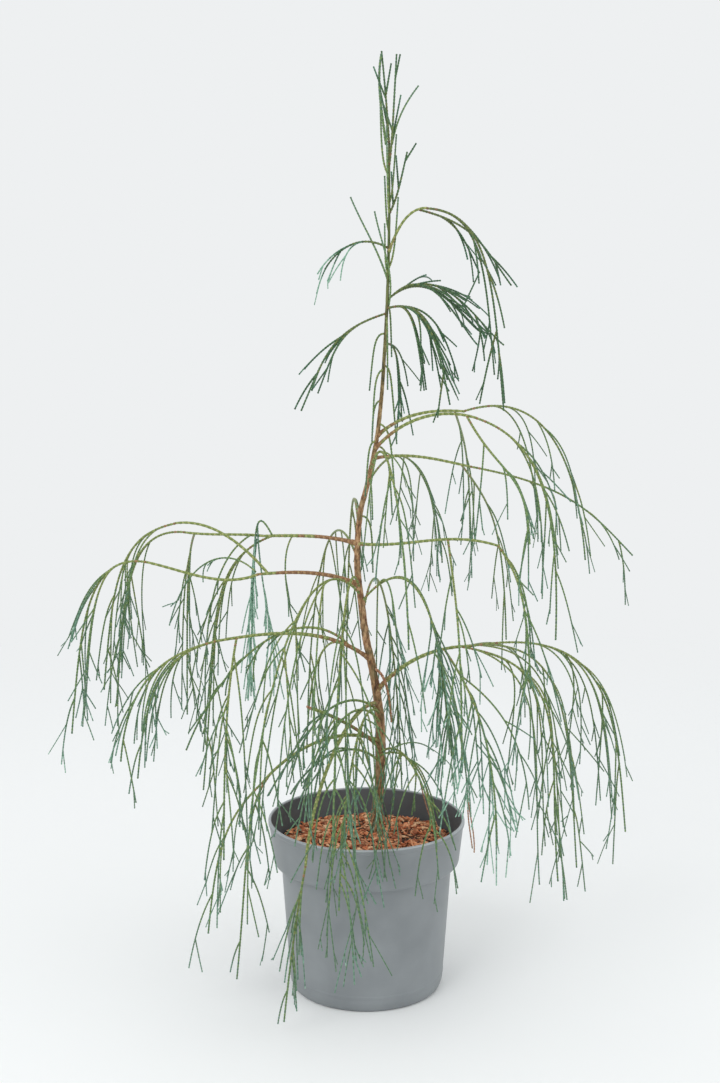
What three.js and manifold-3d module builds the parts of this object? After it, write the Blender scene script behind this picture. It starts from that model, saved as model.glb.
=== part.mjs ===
// Potted weeping lawson cypress: a young plant about a metre tall in a round nursery pot.
// Millimetres, +Z up, +X to the right and +Y away from the viewer. The origin is the centre
// of the pot's flat underside. A slim trunk carries arching boughs, and every mass of foliage
// is one solid: a drooping stem with thread-like twigs that hang from it.
import * as THREE from "three";
import { mergeVertices } from "three/addons/utils/BufferGeometryUtils.js";
import Module from "manifold-3d";

const wasm = await Module();
wasm.setup();

// Clearances
const GAP = 0.3;
const TWIG_CLEARANCE = 0.4;
const WALL_CLEARANCE = 1.5;
const FLOOR_CLEARANCE = 9;

// Pot: thin moulded plastic with a deep rim band, worked out from its outer radii
const POT_HEIGHT = 189;
const POT_SEGMENTS = 32;
const RIM_RADIUS = 107;
const BAND_BOTTOM = 142;
const BAND_RADIUS = 101;
const BODY_TOP_RADIUS = 93;
const BODY_FOOT_RADIUS = 83.5;
const FOOT_CHAMFER = 7;
const FOOT_FLAT_RADIUS = 77;
const WALL = 2.2;
const FLOOR = 3;
const LIP_HEIGHT = 2;
const LIP_ROUNDING = 1.2;
const BAND_ROUNDING = 1;
const BAND_STEP = 2;

// Bark-topped compost that fills the pot
const BARK_HEIGHT = 165;
const BARK_EDGE_HEIGHT = 160;
const BARK_FLAT_RADIUS = 60;
const COMPOST_SLACK = 0.1;
const BAND_SLACK = 0.2;

// Trunk stations: height, x, y, radius, from the flat cut at the bark to the leader's tip
const TRUNK_FOOT = BARK_HEIGHT + GAP;
const TRUNK_STATIONS = [
  [TRUNK_FOOT, 12, 20, 9.0],
  [176, 12, 20, 6.8],
  [196, 12, 20, 5.9],
  [231, 15, 20, 5.4],
  [290, 15, 20, 5.0],
  [343, 8, 20, 4.5],
  [387, -1, 20, 4.1],
  [420, -5, 20, 3.8],
  [465, -10, 20, 3.4],
  [519, -7, 20, 3.0],
  [557, 2, 19, 2.7],
  [610, 12, 18, 2.3],
  [695, 19, 18, 1.9],
  [804, 23, 18, 1.5],
  [910, 23, 18, 1.1],
];
const TRUNK_SIDES = 8;
const TRUNK_RINGS = 24;
const FLARE_CROWDING = 1.35;

// Limb and twig sections
const BOUGH_SIDES = 6;
const BOUGH_STEPS = 5;
const BOUGH_HANDLE = 0.36;
const FORK_BEFORE_TIP = 1.5;
const TWIG_SIDES = 3;
const STEM_STEPS = 7;
const STEM_SPRING = 0.55;
const STEM_SPRING_BY_DROP = 0.12;
const STEM_HANG = 0.6;
const STEM_HANG_BY_REACH = 0.05;
const STEM_RADIUS = 1.35;
const STEM_TIP_RADIUS = 0.9;
const THREAD_STEPS = 12;
const THREAD_RINGS = [0, 1, 3, 6, 12];
const THREAD_RADII = [0.5, 1.2, 1.2, 1.1, 0.9];

// Repeatable draws: each state is the last one times the multiplier, modulo the prime
const PRIME = 2147483647;
const MULTIPLIER = 48271;
const SEED_STEP = 7919;
const SEED_START = 17;
const SEEDS_OF_A_MASS = 1000;
const SEEDS_OF_A_THREAD = 31;

// Twig rule: how a thread leaves its stem, bends over and hangs
const GOLDEN_ANGLE = 2.399963;
const TURN_DRAW = 2.2;
const FIRST_THREAD = 0.14;
const LAST_THREAD = 0.92;
const SIDE_LEAN = 0.42;
const HANG_LEAN = 0.13;
const LEAST_LEAN = 0.4;
const OUTWARD_LEAN = 0.03;
const SOFT = 14;
const STIFF = 58;
const ERECT_STIFFNESS = 400;
const SHORTER_AT_TIP = 0.3;
const ROOT_LENGTH = 7;
const TRIES = 14;
const CROWN_LEFT = -343;
const CROWN_RIGHT = 303;
const CROWN_TOP = 999;

// Boughs: height on the trunk, or the limb it forks from, tip, angles at both ends, radii
const BOUGHS = [
  { name: "right_top_bough", at: 796, tip: [62, 5, 841], rise: 70, ends: -3, radii: [1.4, 1.2] },
  { name: "right_upper_bough", at: 604, tip: [105, 40, 628], rise: 42, ends: -6, radii: [1.8, 1.35] },
  { name: "right_arch_bough", at: 590, tip: [113, -34, 628], rise: 48, ends: -14, radii: [1.8, 1.35] },
  { name: "right_middle_bough", at: 580, tip: [113, 60, 566], rise: 8, ends: -14, radii: [1.6, 1.3] },
  { name: "right_lower_bough", at: 488, tip: [137, -50, 497], rise: -2, ends: -14, radii: [1.6, 1.3] },
  { name: "right_low_bough", at: 325, tip: [112, -5, 381], rise: 52, ends: 3, radii: [2.4, 1.5] },
  { name: "left_upper_bough", at: 488, tip: [-113, 40, 493], rise: 14, ends: -2, radii: [2.3, 1.5] },
  { name: "left_middle_bough", at: 443, tip: [-116, -10, 460], rise: 26, ends: -2, radii: [2.5, 1.6] },
  { name: "left_low_bough", at: 360, tip: [-157, -60, 399], rise: 40, ends: -4, radii: [2.3, 1.4] },
  { name: "front_left_bough", at: 312, tip: [-62, -140, 185], rise: 15, ends: -80, radii: [2.2, 1.5] },
  { name: "left_foot_bough", at: 268, tip: [-109, -70, 250], rise: 30, ends: -40, radii: [2.0, 1.4] },
  {
    name: "left_upper_arm", on: "left_upper_bough",
    tip: [-200, 70, 492], rise: 2, ends: 4, radii: [1.45, 1.3],
  },
  {
    name: "left_middle_arm", on: "left_middle_bough",
    tip: [-231, -30, 477], rise: -20, ends: 14, radii: [1.5, 1.3],
  },
  {
    name: "left_arch_bough", on: "left_middle_bough", back: 12,
    tip: [-205, 20, 510], rise: 48, ends: -10, radii: [1.5, 1.3],
  },
];

// Masses of foliage: where the stem starts, its tip, its angles, its threads and their lengths,
// and for some how far it springs out, where the first thread leaves it, how stiff the threads
// may be, and how far they spread to its sides
const MASSES = [
  {
    name: "top_tuft", at: 906,
    tip: [15, 18, 999], rise: 86, fall: 84, threads: 3, drop: [40, 62], erect: true,
  },
  {
    name: "top_right_tuft", at: 884,
    tip: [30, 0, 994], rise: 70, fall: 82, threads: 3, drop: [34, 58], erect: true,
  },
  {
    name: "upper_shoots", at: 835,
    tip: [42, 30, 899], rise: 60, fall: 75, threads: 3, drop: [30, 58], erect: true,
  },
  { name: "left_top_spray", at: 800, tip: [-44, 30, 778], rise: 30, fall: -60, threads: 4, drop: [34, 58] },
  {
    name: "right_top_outer", on: "right_top_bough",
    tip: [141, -30, 635], rise: -3, stiff: 150, threads: 5, drop: [50, 105],
  },
  {
    name: "right_top_inner", on: "right_top_bough", back: 9,
    tip: [154, 50, 761], rise: -12, fall: -50, stiff: 150, threads: 4, drop: [35, 65],
  },
  {
    name: "right_high_spray", at: 747,
    tip: [147, 50, 698], rise: 40, fall: -35, first: 0.06, stiff: 150, threads: 7, drop: [34, 70],
  },
  {
    name: "right_high_steep", at: 738,
    tip: [85, -40, 642], rise: 15, fall: -75, first: 0.06, stiff: 150, threads: 7, drop: [30, 62],
  },
  {
    name: "left_high_spray", at: 733,
    tip: [-68, -20, 634], rise: -15, fall: -65, stiff: 150, threads: 4, drop: [34, 66],
  },
  { name: "middle_wisp", at: 700, tip: [38, 60, 620], rise: 10, threads: 4, drop: [45, 80] },
  {
    name: "right_upper_outer", on: "right_upper_bough",
    tip: [243, 80, 459], rise: 16, threads: 6, drop: [80, 140],
  },
  {
    name: "right_upper_hang", on: "right_upper_bough", back: 11,
    tip: [122, 190, 462], rise: -25, threads: 5, drop: [70, 130],
  },
  {
    name: "right_arch_outer", on: "right_arch_bough",
    tip: [192, -90, 407], rise: -12, fall: -91, threads: 6, drop: [80, 150],
  },
  {
    name: "right_arch_inner", on: "right_arch_bough", back: 11,
    tip: [154, -190, 523], rise: -30, threads: 5, drop: [70, 140],
  },
  {
    name: "right_middle_outer", on: "right_middle_bough",
    tip: [302, 120, 457], rise: -12, fall: -45, threads: 4, drop: [60, 110],
  },
  {
    name: "right_middle_hang", on: "right_middle_bough", back: 11,
    tip: [167, 200, 341], rise: -30, threads: 5, drop: [80, 150],
  },
  {
    name: "right_lower_outer", on: "right_lower_bough",
    tip: [161, -150, 371], rise: -14, threads: 5, drop: [80, 150],
  },
  {
    name: "right_lower_hang", on: "right_lower_bough", back: 58,
    tip: [91, -200, 314], rise: -25, threads: 6, drop: [80, 150],
  },
  {
    name: "right_loop_front", at: 424,
    tip: [88, -75, 280], rise: 46, spring: 0.95, first: 0.5, threads: 12, drop: [60, 125],
  },
  {
    name: "right_loop_back", at: 410,
    tip: [44, 200, 142], rise: 55, first: 0.42, threads: 10, drop: [90, 170],
  },
  { name: "front_upper_fall", at: 568, tip: [40, -180, 418], rise: 40, threads: 5, drop: [80, 150] },
  { name: "back_upper_fall", at: 552, tip: [90, 200, 434], rise: 35, threads: 8, drop: [80, 150] },
  {
    name: "right_low_outer", on: "right_low_bough",
    tip: [286, 20, 165], rise: 8, spring: 0.75, threads: 6, drop: [100, 175],
  },
  {
    name: "right_low_middle", on: "right_low_bough", back: 10,
    tip: [203, -60, 138], rise: -2, spring: 0.9, threads: 9, drop: [90, 170],
  },
  {
    name: "right_low_far", on: "right_low_bough", back: 20,
    tip: [245, 110, 90], rise: 0, spring: 0.75, threads: 6, drop: [80, 150],
  },
  {
    name: "right_low_inner", on: "right_low_bough", back: 30,
    tip: [127, -190, 225], rise: -10, first: 0.25, threads: 10, drop: [90, 165],
  },
  {
    name: "left_upper_outer", on: "left_upper_arm",
    tip: [-283, 90, 289], rise: 4, threads: 6, drop: [90, 150],
  },
  {
    name: "left_upper_third", on: "left_upper_arm", back: 12,
    tip: [-210, 160, 260], rise: -25, threads: 6, drop: [90, 150],
  },
  {
    name: "left_upper_inner", on: "left_upper_bough", back: 12,
    tip: [-183, 60, 200], rise: -20, threads: 8, drop: [90, 165],
  },
  { name: "back_left_fall", at: 472, tip: [-70, 210, 246], rise: 35, threads: 9, drop: [90, 165] },
  {
    name: "left_middle_outer", on: "left_middle_arm",
    tip: [-308, -60, 300], rise: 14, threads: 7, drop: [70, 118],
  },
  {
    name: "left_arch_outer", on: "left_arch_bough",
    tip: [-284, 10, 329], rise: -10, threads: 6, drop: [80, 140],
  },
  {
    name: "left_low_outer", on: "left_low_bough",
    tip: [-249, -120, 288], rise: -5, threads: 6, drop: [60, 112],
  },
  {
    name: "left_low_second", on: "left_low_bough", back: 10,
    tip: [-243, -40, 245], rise: -12, threads: 5, drop: [60, 112],
  },
  {
    name: "left_low_front", on: "left_low_bough", back: 24,
    tip: [-142, -170, 202], rise: -25, first: 0.3, spread: 0.7, threads: 8, drop: [80, 160],
  },
  {
    name: "left_front_fall", at: 432,
    tip: [-118, -190, 200], rise: 38, first: 0.4, spread: 0.7, threads: 9, drop: [100, 185],
  },
  {
    name: "front_middle_fall", at: 440,
    tip: [-34, -180, 205], rise: 35, first: 0.42, spread: 0.9, threads: 12, drop: [90, 185],
  },
  {
    name: "front_left_long", on: "front_left_bough",
    tip: [-85, -140, 17], rise: -80, threads: 7, drop: [50, 110],
  },
  {
    name: "left_foot_long", on: "left_foot_bough",
    tip: [-166, -90, 92], rise: -40, threads: 4, drop: [60, 130],
  },
  {
    name: "left_foot_hang", on: "left_foot_bough", back: 9,
    tip: [-139, -60, 28], rise: -55, spread: 0.7, threads: 4, drop: [60, 130],
  },
  {
    name: "front_fall", at: 300,
    tip: [-28, -172, 150], rise: 28, first: 0.2, spread: 1.1, threads: 20, drop: [80, 175],
  },
  {
    name: "right_foot_spray", at: 256,
    tip: [71, -130, 198], rise: 30, spread: 0.9, threads: 8, drop: [50, 120],
  },
  { name: "back_fall", at: 505, tip: [-25, 220, 160], rise: 40, threads: 9, drop: [90, 165] },
];

// Colours
const POT_GREY = 0x868b8f;
const BARK_BROWN = 0x9a5a3a;
const TRUNK_BROWN = 0x7a5a44;
const BOUGH_BROWN = 0x84603c;
const FOLIAGE_GREENS = [0x47734f, 0x54825c, 0x5f8f74, 0x6f9460];

function degrees(angle) {
  return (angle * Math.PI) / 180;
}

// Repeatable draws between 0 and 1
function seeded(seed) {
  let state = (seed * SEED_STEP + SEED_START) % PRIME;
  const draw = () => {
    state = (state * MULTIPLIER) % PRIME;
    return state / PRIME;
  };
  draw();
  draw();
  return draw;
}

function vector(values) {
  return new THREE.Vector3(values[0], values[1], values[2]);
}

// Turned profile of the pot: underside, foot chamfer, body, rim band, lip and inside wall
function potGeometry() {
  const lipRadius = RIM_RADIUS - LIP_ROUNDING;
  const profile = [
    [0, 0],
    [FOOT_FLAT_RADIUS, 0],
    [BODY_FOOT_RADIUS, FOOT_CHAMFER],
    [BODY_TOP_RADIUS, BAND_BOTTOM - BAND_ROUNDING],
    [BAND_RADIUS, BAND_BOTTOM + BAND_STEP],
    [RIM_RADIUS - BAND_ROUNDING, POT_HEIGHT - 2 * LIP_HEIGHT],
    [RIM_RADIUS, POT_HEIGHT - LIP_HEIGHT],
    [lipRadius, POT_HEIGHT],
    [lipRadius - WALL, POT_HEIGHT],
    [BAND_RADIUS - WALL, BAND_BOTTOM + 2 * BAND_STEP],
    [BODY_TOP_RADIUS - WALL, BAND_BOTTOM],
    [BODY_FOOT_RADIUS - WALL, FOOT_CHAMFER + 1],
    [FOOT_FLAT_RADIUS, FLOOR],
    [0, FLOOR],
  ];
  return latheGeometry(profile);
}

// Compost that follows the inside of the pot, with a slightly heaped top of bark chips
function barkGeometry() {
  const wallGap = GAP / Math.cos(Math.PI / POT_SEGMENTS) + COMPOST_SLACK;
  const bandFoot = BAND_BOTTOM + 2 * BAND_STEP;
  const bandSlope = (RIM_RADIUS - LIP_ROUNDING - BAND_RADIUS) / (POT_HEIGHT - bandFoot);
  const edgeRadius = BAND_RADIUS - WALL + bandSlope * (BARK_EDGE_HEIGHT - bandFoot);
  const profile = [
    [0, FLOOR + GAP],
    [FOOT_FLAT_RADIUS - 1, FLOOR + GAP],
    [BODY_FOOT_RADIUS - WALL - wallGap, FOOT_CHAMFER + 1.5],
    [BODY_TOP_RADIUS - WALL - wallGap, BAND_BOTTOM + BAND_SLACK],
    [BAND_RADIUS - WALL - wallGap - BAND_SLACK, bandFoot + 2 * BAND_SLACK],
    [edgeRadius - wallGap, BARK_EDGE_HEIGHT],
    [BARK_FLAT_RADIUS, BARK_HEIGHT],
    [0, BARK_HEIGHT],
  ];
  return latheGeometry(profile);
}

// A lathe turns about its own Y axis, so the profile is stood up onto +Z
function latheGeometry(profile) {
  const points = profile.map(([radius, height]) => new THREE.Vector2(radius, height));
  const geometry = new THREE.LatheGeometry(points, POT_SEGMENTS);
  geometry.rotateX(Math.PI / 2);
  return geometry;
}

// Trunk centre and radius at a height, smooth through its stations
function trunkAt(height) {
  const stations = TRUNK_STATIONS;
  const last = stations.length - 1;
  let i = 0;
  while (i < last - 1 && height > stations[i + 1][0]) {
    i += 1;
  }
  const slope = (k, column) => {
    const low = stations[Math.max(k - 1, 0)];
    const high = stations[Math.min(k + 1, last)];
    return (high[column] - low[column]) / (high[0] - low[0]);
  };
  const span = stations[i + 1][0] - stations[i][0];
  const t = Math.min(Math.max((height - stations[i][0]) / span, 0), 1);
  const value = (column) => {
    const a = stations[i][column];
    const b = stations[i + 1][column];
    const rise = b - a;
    const m0 = slope(i, column) * span;
    const m1 = slope(i + 1, column) * span;
    return a + t * m0 + t * t * (3 * rise - 2 * m0 - m1) + t * t * t * (m0 + m1 - 2 * rise);
  };
  return { point: new THREE.Vector3(value(1), value(2), height), radius: value(3) };
}

// Ring heights crowd towards the root flare
function trunkLimb() {
  const top = TRUNK_STATIONS[TRUNK_STATIONS.length - 1][0];
  const points = [];
  const radii = [];
  for (let i = 0; i <= TRUNK_RINGS; i += 1) {
    const height = TRUNK_FOOT + (top - TRUNK_FOOT) * Math.pow(i / TRUNK_RINGS, FLARE_CROWDING);
    const station = trunkAt(height);
    points.push(station.point);
    radii.push(station.radius);
  }
  return { name: "trunk", points, radii, sides: TRUNK_SIDES, flatFoot: true };
}

// Unit vector towards a target in plan, lifted by an elevation angle
function leaving(from, target, elevation) {
  const flat = new THREE.Vector3(target.x - from.x, target.y - from.y, 0).normalize();
  const lift = degrees(elevation);
  return flat.multiplyScalar(Math.cos(lift)).add(new THREE.Vector3(0, 0, Math.sin(lift)));
}

// Bough: a cubic curve that leaves its parent at one angle and reaches its tip at another
function boughCurve(start, tip, rise, ends) {
  const reach = start.distanceTo(tip) * BOUGH_HANDLE;
  const first = leaving(start, tip, rise).multiplyScalar(reach).add(start);
  const second = leaving(start, tip, ends).multiplyScalar(-reach).add(tip);
  return new THREE.CubicBezierCurve3(start, first, second, tip);
}

// Stem of a mass: springs outwards, bends over and hangs to its tip
function stemCurve(start, tip, mass) {
  const flat = Math.hypot(tip.x - start.x, tip.y - start.y);
  const rise = mass.rise ?? 0;
  const fall = mass.fall ?? -84;
  const drop = Math.abs(tip.z - start.z);
  const spring = (mass.spring ?? STEM_SPRING) * flat + STEM_SPRING_BY_DROP * drop;
  const hang = STEM_HANG * drop + STEM_HANG_BY_REACH * flat;
  const first = leaving(start, tip, rise).multiplyScalar(spring).add(start);
  const second = leaving(start, tip, fall).multiplyScalar(-hang).add(tip);
  return new THREE.CubicBezierCurve3(start, first, second, tip);
}

// Point on a limb's centre line, a distance back from its tip
function beforeTip(limb, distance) {
  const points = limb.points;
  let left = distance;
  for (let i = points.length - 1; i > 0; i -= 1) {
    const length = points[i].distanceTo(points[i - 1]);
    if (left <= length) {
      return points[i].clone().lerp(points[i - 1], left / length);
    }
    left -= length;
  }
  return points[0].clone();
}

// Straight mix of two radii along evenly stepped rings
function evenTaper([root, tip], steps) {
  return Array.from({ length: steps + 1 }, (_, i) => root + ((tip - root) * i) / steps);
}

// Closed tapered tube with flat ends; rings are carried along the path without twisting
function tubeGeometry({ points, radii, sides, flatFoot = false, pointed = false }) {
  const last = points.length - 1;
  const along = points.map((point, i) => {
    const before = points[Math.max(i - 1, 0)];
    const after = points[Math.min(i + 1, last)];
    return after.clone().sub(before).normalize();
  });
  if (flatFoot) {
    along[0].set(0, 0, 1);
  }
  const guide = Math.abs(along[0].x) < 0.8 ? new THREE.Vector3(1, 0, 0) : new THREE.Vector3(0, 1, 0);
  const across = guide.sub(along[0].clone().multiplyScalar(guide.dot(along[0]))).normalize();
  const positions = [];
  const rings = pointed ? last : last + 1;
  for (let i = 0; i < rings; i += 1) {
    across.sub(along[i].clone().multiplyScalar(across.dot(along[i]))).normalize();
    const up = along[i].clone().cross(across);
    for (let k = 0; k < sides; k += 1) {
      const angle = (2 * Math.PI * k) / sides;
      const spoke = across.clone().multiplyScalar(Math.cos(angle) * radii[i]);
      spoke.add(up.clone().multiplyScalar(Math.sin(angle) * radii[i])).add(points[i]);
      positions.push(spoke.x, spoke.y, spoke.z);
    }
  }
  const faces = [];
  for (let i = 0; i + 1 < rings; i += 1) {
    for (let k = 0; k < sides; k += 1) {
      const a = i * sides + k;
      const b = i * sides + ((k + 1) % sides);
      faces.push(a, b, b + sides, a, b + sides, a + sides);
    }
  }
  for (let k = 1; k + 1 < sides; k += 1) {
    faces.push(0, k + 1, k);
  }
  const top = (rings - 1) * sides;
  if (pointed) {
    positions.push(points[last].x, points[last].y, points[last].z);
    for (let k = 0; k < sides; k += 1) {
      faces.push(top + k, top + ((k + 1) % sides), rings * sides);
    }
  } else {
    for (let k = 1; k + 1 < sides; k += 1) {
      faces.push(top, top + k, top + k + 1);
    }
  }
  const geometry = new THREE.BufferGeometry();
  geometry.setAttribute("position", new THREE.Float32BufferAttribute(positions, 3));
  geometry.setIndex(faces);
  return geometry;
}

// Closed geometry to a solid for joining and cutting, and back
function solidFrom(geometry) {
  const merged = mergeVertices(geometry);
  return new wasm.Manifold(new wasm.Mesh({
    numProp: 3,
    vertProperties: new Float32Array(merged.attributes.position.array),
    triVerts: new Uint32Array(merged.index.array),
  }));
}

function geometryFrom(solid) {
  const mesh = solid.getMesh();
  const geometry = new THREE.BufferGeometry();
  geometry.setAttribute("position", new THREE.BufferAttribute(mesh.vertProperties, 3));
  geometry.setIndex(new THREE.BufferAttribute(mesh.triVerts, 1));
  geometry.computeVertexNormals();
  return geometry;
}

// The largest piece of a cut, so that no loose scrap is kept
function largest(solid) {
  const pieces = solid.decompose();
  return pieces.reduce((best, piece) => (piece.volume() > best.volume() ? piece : best));
}

// The same limb, thicker by the gap all round and longer by it at the tip
function seatOf(limb) {
  const grow = GAP / Math.cos(Math.PI / limb.sides);
  const last = limb.points.length - 1;
  const points = limb.points.map((point) => point.clone());
  const outwards = points[last].clone().sub(points[last - 1]).normalize();
  points[last].add(outwards.multiplyScalar(GAP));
  const radii = limb.radii.map((radius) => radius + grow);
  return solidFrom(tubeGeometry({ ...limb, points, radii }));
}

// Where a bough or stem starts: on the trunk's centre line, or near the tip of a limb
function startOf(row, limbs) {
  if (row.on) {
    return beforeTip(limbs[row.on], row.back ?? FORK_BEFORE_TIP);
  }
  return trunkAt(row.at).point;
}

function growBoughs(limbs) {
  for (const bough of BOUGHS) {
    const start = startOf(bough, limbs);
    const curve = boughCurve(start, vector(bough.tip), bough.rise, bough.ends);
    limbs[bough.name] = {
      name: bough.name,
      parent: bough.on ?? "trunk",
      points: curve.getPoints(BOUGH_STEPS),
      radii: evenTaper(bough.radii, BOUGH_STEPS),
      sides: BOUGH_SIDES,
    };
  }
}

function growStem(mass, limbs) {
  const start = startOf(mass, limbs);
  const tip = vector(mass.tip);
  const curve = stemCurve(start, tip, mass);
  return {
    name: mass.name,
    parent: mass.on ?? "trunk",
    curve,
    outward: leaving(start, tip, 0),
    points: curve.getPoints(STEM_STEPS),
    radii: evenTaper([STEM_RADIUS, STEM_TIP_RADIUS], STEM_STEPS),
    sides: TWIG_SIDES,
    pointed: true,
  };
}

// Least distance between two straight pieces
function pieceDistance(a0, a1, b0, b1) {
  const u = a1.clone().sub(a0);
  const v = b1.clone().sub(b0);
  const w = a0.clone().sub(b0);
  const uu = u.dot(u);
  const uv = u.dot(v);
  const vv = v.dot(v);
  const uw = u.dot(w);
  const vw = v.dot(w);
  const spread = uu * vv - uv * uv;
  let s = spread > 1e-9 ? Math.min(Math.max((uv * vw - vv * uw) / spread, 0), 1) : 0;
  let t = (uv * s + vw) / vv;
  if (t < 0 || t > 1) {
    t = Math.min(Math.max(t, 0), 1);
    s = Math.min(Math.max((uv * t - uw) / uu, 0), 1);
  }
  return w.add(u.multiplyScalar(s)).sub(v.multiplyScalar(t)).length();
}

function piecesOf(owner, points, radii) {
  const pieces = [];
  for (let i = 0; i + 1 < points.length; i += 1) {
    pieces.push({ owner, from: points[i], to: points[i + 1], radius: Math.max(radii[i], radii[i + 1]) });
  }
  return pieces;
}

function farEnough(piece, others) {
  return others.every((other) => {
    const need = piece.radius + other.radius + TWIG_CLEARANCE;
    const centre = piece.from.distanceTo(other.from) - piece.from.distanceTo(piece.to);
    if (centre - other.from.distanceTo(other.to) > need) {
      return true;
    }
    return pieceDistance(piece.from, piece.to, other.from, other.to) > need;
  });
}

// A twig hangs outside the pot down to the floor's clearance, or inside it above the bark
function clearOfPot(points) {
  const low = points.filter((point) => point.z < POT_HEIGHT + WALL_CLEARANCE);
  const inside = (point) => {
    const radius = Math.hypot(point.x, point.y);
    return radius < BAND_RADIUS - WALL - 2 * WALL_CLEARANCE && point.z > BARK_HEIGHT + WALL_CLEARANCE;
  };
  const outside = (point) => {
    const radius = Math.hypot(point.x, point.y);
    const wall = point.z > BAND_BOTTOM - 2 * WALL_CLEARANCE ? RIM_RADIUS : BODY_TOP_RADIUS;
    return radius > wall + 2 * WALL_CLEARANCE && point.z > FLOOR_CLEARANCE;
  };
  return low.every(inside) || low.every(outside);
}

// One hanging thread: it leaves its stem at a slant, and its weight turns it down
function hangingThread(mass, stem, number, attempt, seedNumber) {
  const draw = seeded(seedNumber * SEEDS_OF_A_MASS + number * SEEDS_OF_A_THREAD + attempt);
  const first = mass.first ?? FIRST_THREAD;
  const place = first + ((LAST_THREAD - first) * (number + draw())) / mass.threads;
  const azimuth = GOLDEN_ANGLE * number + TURN_DRAW * draw() + attempt;
  const side = new THREE.Vector3(Math.cos(azimuth), Math.sin(azimuth), 0);
  const spread = mass.spread ?? SIDE_LEAN;
  const heading = stem.curve.getTangent(place).addScaledVector(side, spread).normalize();
  const [short, long] = mass.drop;
  const length = (short + (long - short) * draw()) * (1 - SHORTER_AT_TIP * place);
  const lean = HANG_LEAN * (LEAST_LEAN + draw());
  const rest = new THREE.Vector3(0, 0, mass.erect ? 1 : -1).addScaledVector(side, lean);
  rest.addScaledVector(stem.outward, OUTWARD_LEAN).normalize();
  const stiffest = mass.stiff ?? STIFF;
  const stiffness = mass.erect ? ERECT_STIFFNESS : SOFT + (stiffest - SOFT) * draw();
  const step = length / THREAD_STEPS;
  const points = [stem.curve.getPoint(place)];
  for (let i = 0; i < THREAD_STEPS; i += 1) {
    const kept = Math.exp((-(i + 0.5) * step) / stiffness);
    const along = rest.clone().lerp(heading, kept).normalize();
    points.push(points[i].clone().addScaledVector(along, step));
  }
  return points;
}

// Threads of a mass: each is tried a few times, and skipped where it would touch anything else
function growThreads(mass, stem, seedNumber, pieces) {
  const threads = [];
  const others = pieces.filter((piece) => piece.owner !== mass.name);
  const kin = pieces.filter((piece) => piece.owner === mass.name);
  for (let number = 0; number < mass.threads; number += 1) {
    for (let attempt = 0; attempt < TRIES; attempt += 1) {
      const path = hangingThread(mass, stem, number, attempt, seedNumber);
      const points = THREAD_RINGS.map((ring) => path[ring]);
      const own = piecesOf(mass.name, points, THREAD_RADII);
      const inCrown = path.every(({ x, z }) => x > CROWN_LEFT && x < CROWN_RIGHT && z < CROWN_TOP);
      const free = own.every((piece) => farEnough(piece, others));
      const beyondRoot = own.filter((piece) => piece.from.distanceTo(path[0]) > ROOT_LENGTH);
      const apart = beyondRoot.every((piece) => farEnough(piece, kin));
      if (inCrown && clearOfPot(path) && free && apart) {
        threads.push({ points, radii: THREAD_RADII, sides: TWIG_SIDES, pointed: true });
        kin.push(...own);
        pieces.push(...own);
        break;
      }
    }
  }
  return threads;
}

function massGeometry(stem, threads, limb) {
  let solid = solidFrom(tubeGeometry(stem));
  for (const thread of threads) {
    solid = solid.add(solidFrom(tubeGeometry(thread)));
  }
  return geometryFrom(largest(solid.subtract(seatOf(limb))));
}

function boughGeometry(limb, parent) {
  return geometryFrom(largest(solidFrom(tubeGeometry(limb)).subtract(seatOf(parent))));
}

const plant = new THREE.Group();

function addNode(name, geometry, color, roughness) {
  const material = new THREE.MeshStandardMaterial({ color, roughness, metalness: 0, flatShading: true });
  const mesh = new THREE.Mesh(geometry, material);
  mesh.name = name;
  plant.add(mesh);
}

addNode("pot", potGeometry(), POT_GREY, 0.45);
addNode("bark_compost", barkGeometry(), BARK_BROWN, 0.95);

const limbs = { trunk: trunkLimb() };
growBoughs(limbs);
addNode("trunk", geometryFrom(solidFrom(tubeGeometry(limbs.trunk))), TRUNK_BROWN, 0.85);
for (const { name } of BOUGHS) {
  addNode(name, boughGeometry(limbs[name], limbs[limbs[name].parent]), BOUGH_BROWN, 0.8);
}

const stems = MASSES.map((mass) => growStem(mass, limbs));
const everyLimb = [...Object.values(limbs), ...stems];
const pieces = everyLimb.flatMap((limb) => piecesOf(limb.name, limb.points, limb.radii));
MASSES.forEach((mass, index) => {
  const threads = growThreads(mass, stems[index], index + 1, pieces);
  const geometry = massGeometry(stems[index], threads, limbs[stems[index].parent]);
  addNode(mass.name, geometry, FOLIAGE_GREENS[index % FOLIAGE_GREENS.length], 0.7);
});

export default plant;
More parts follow.
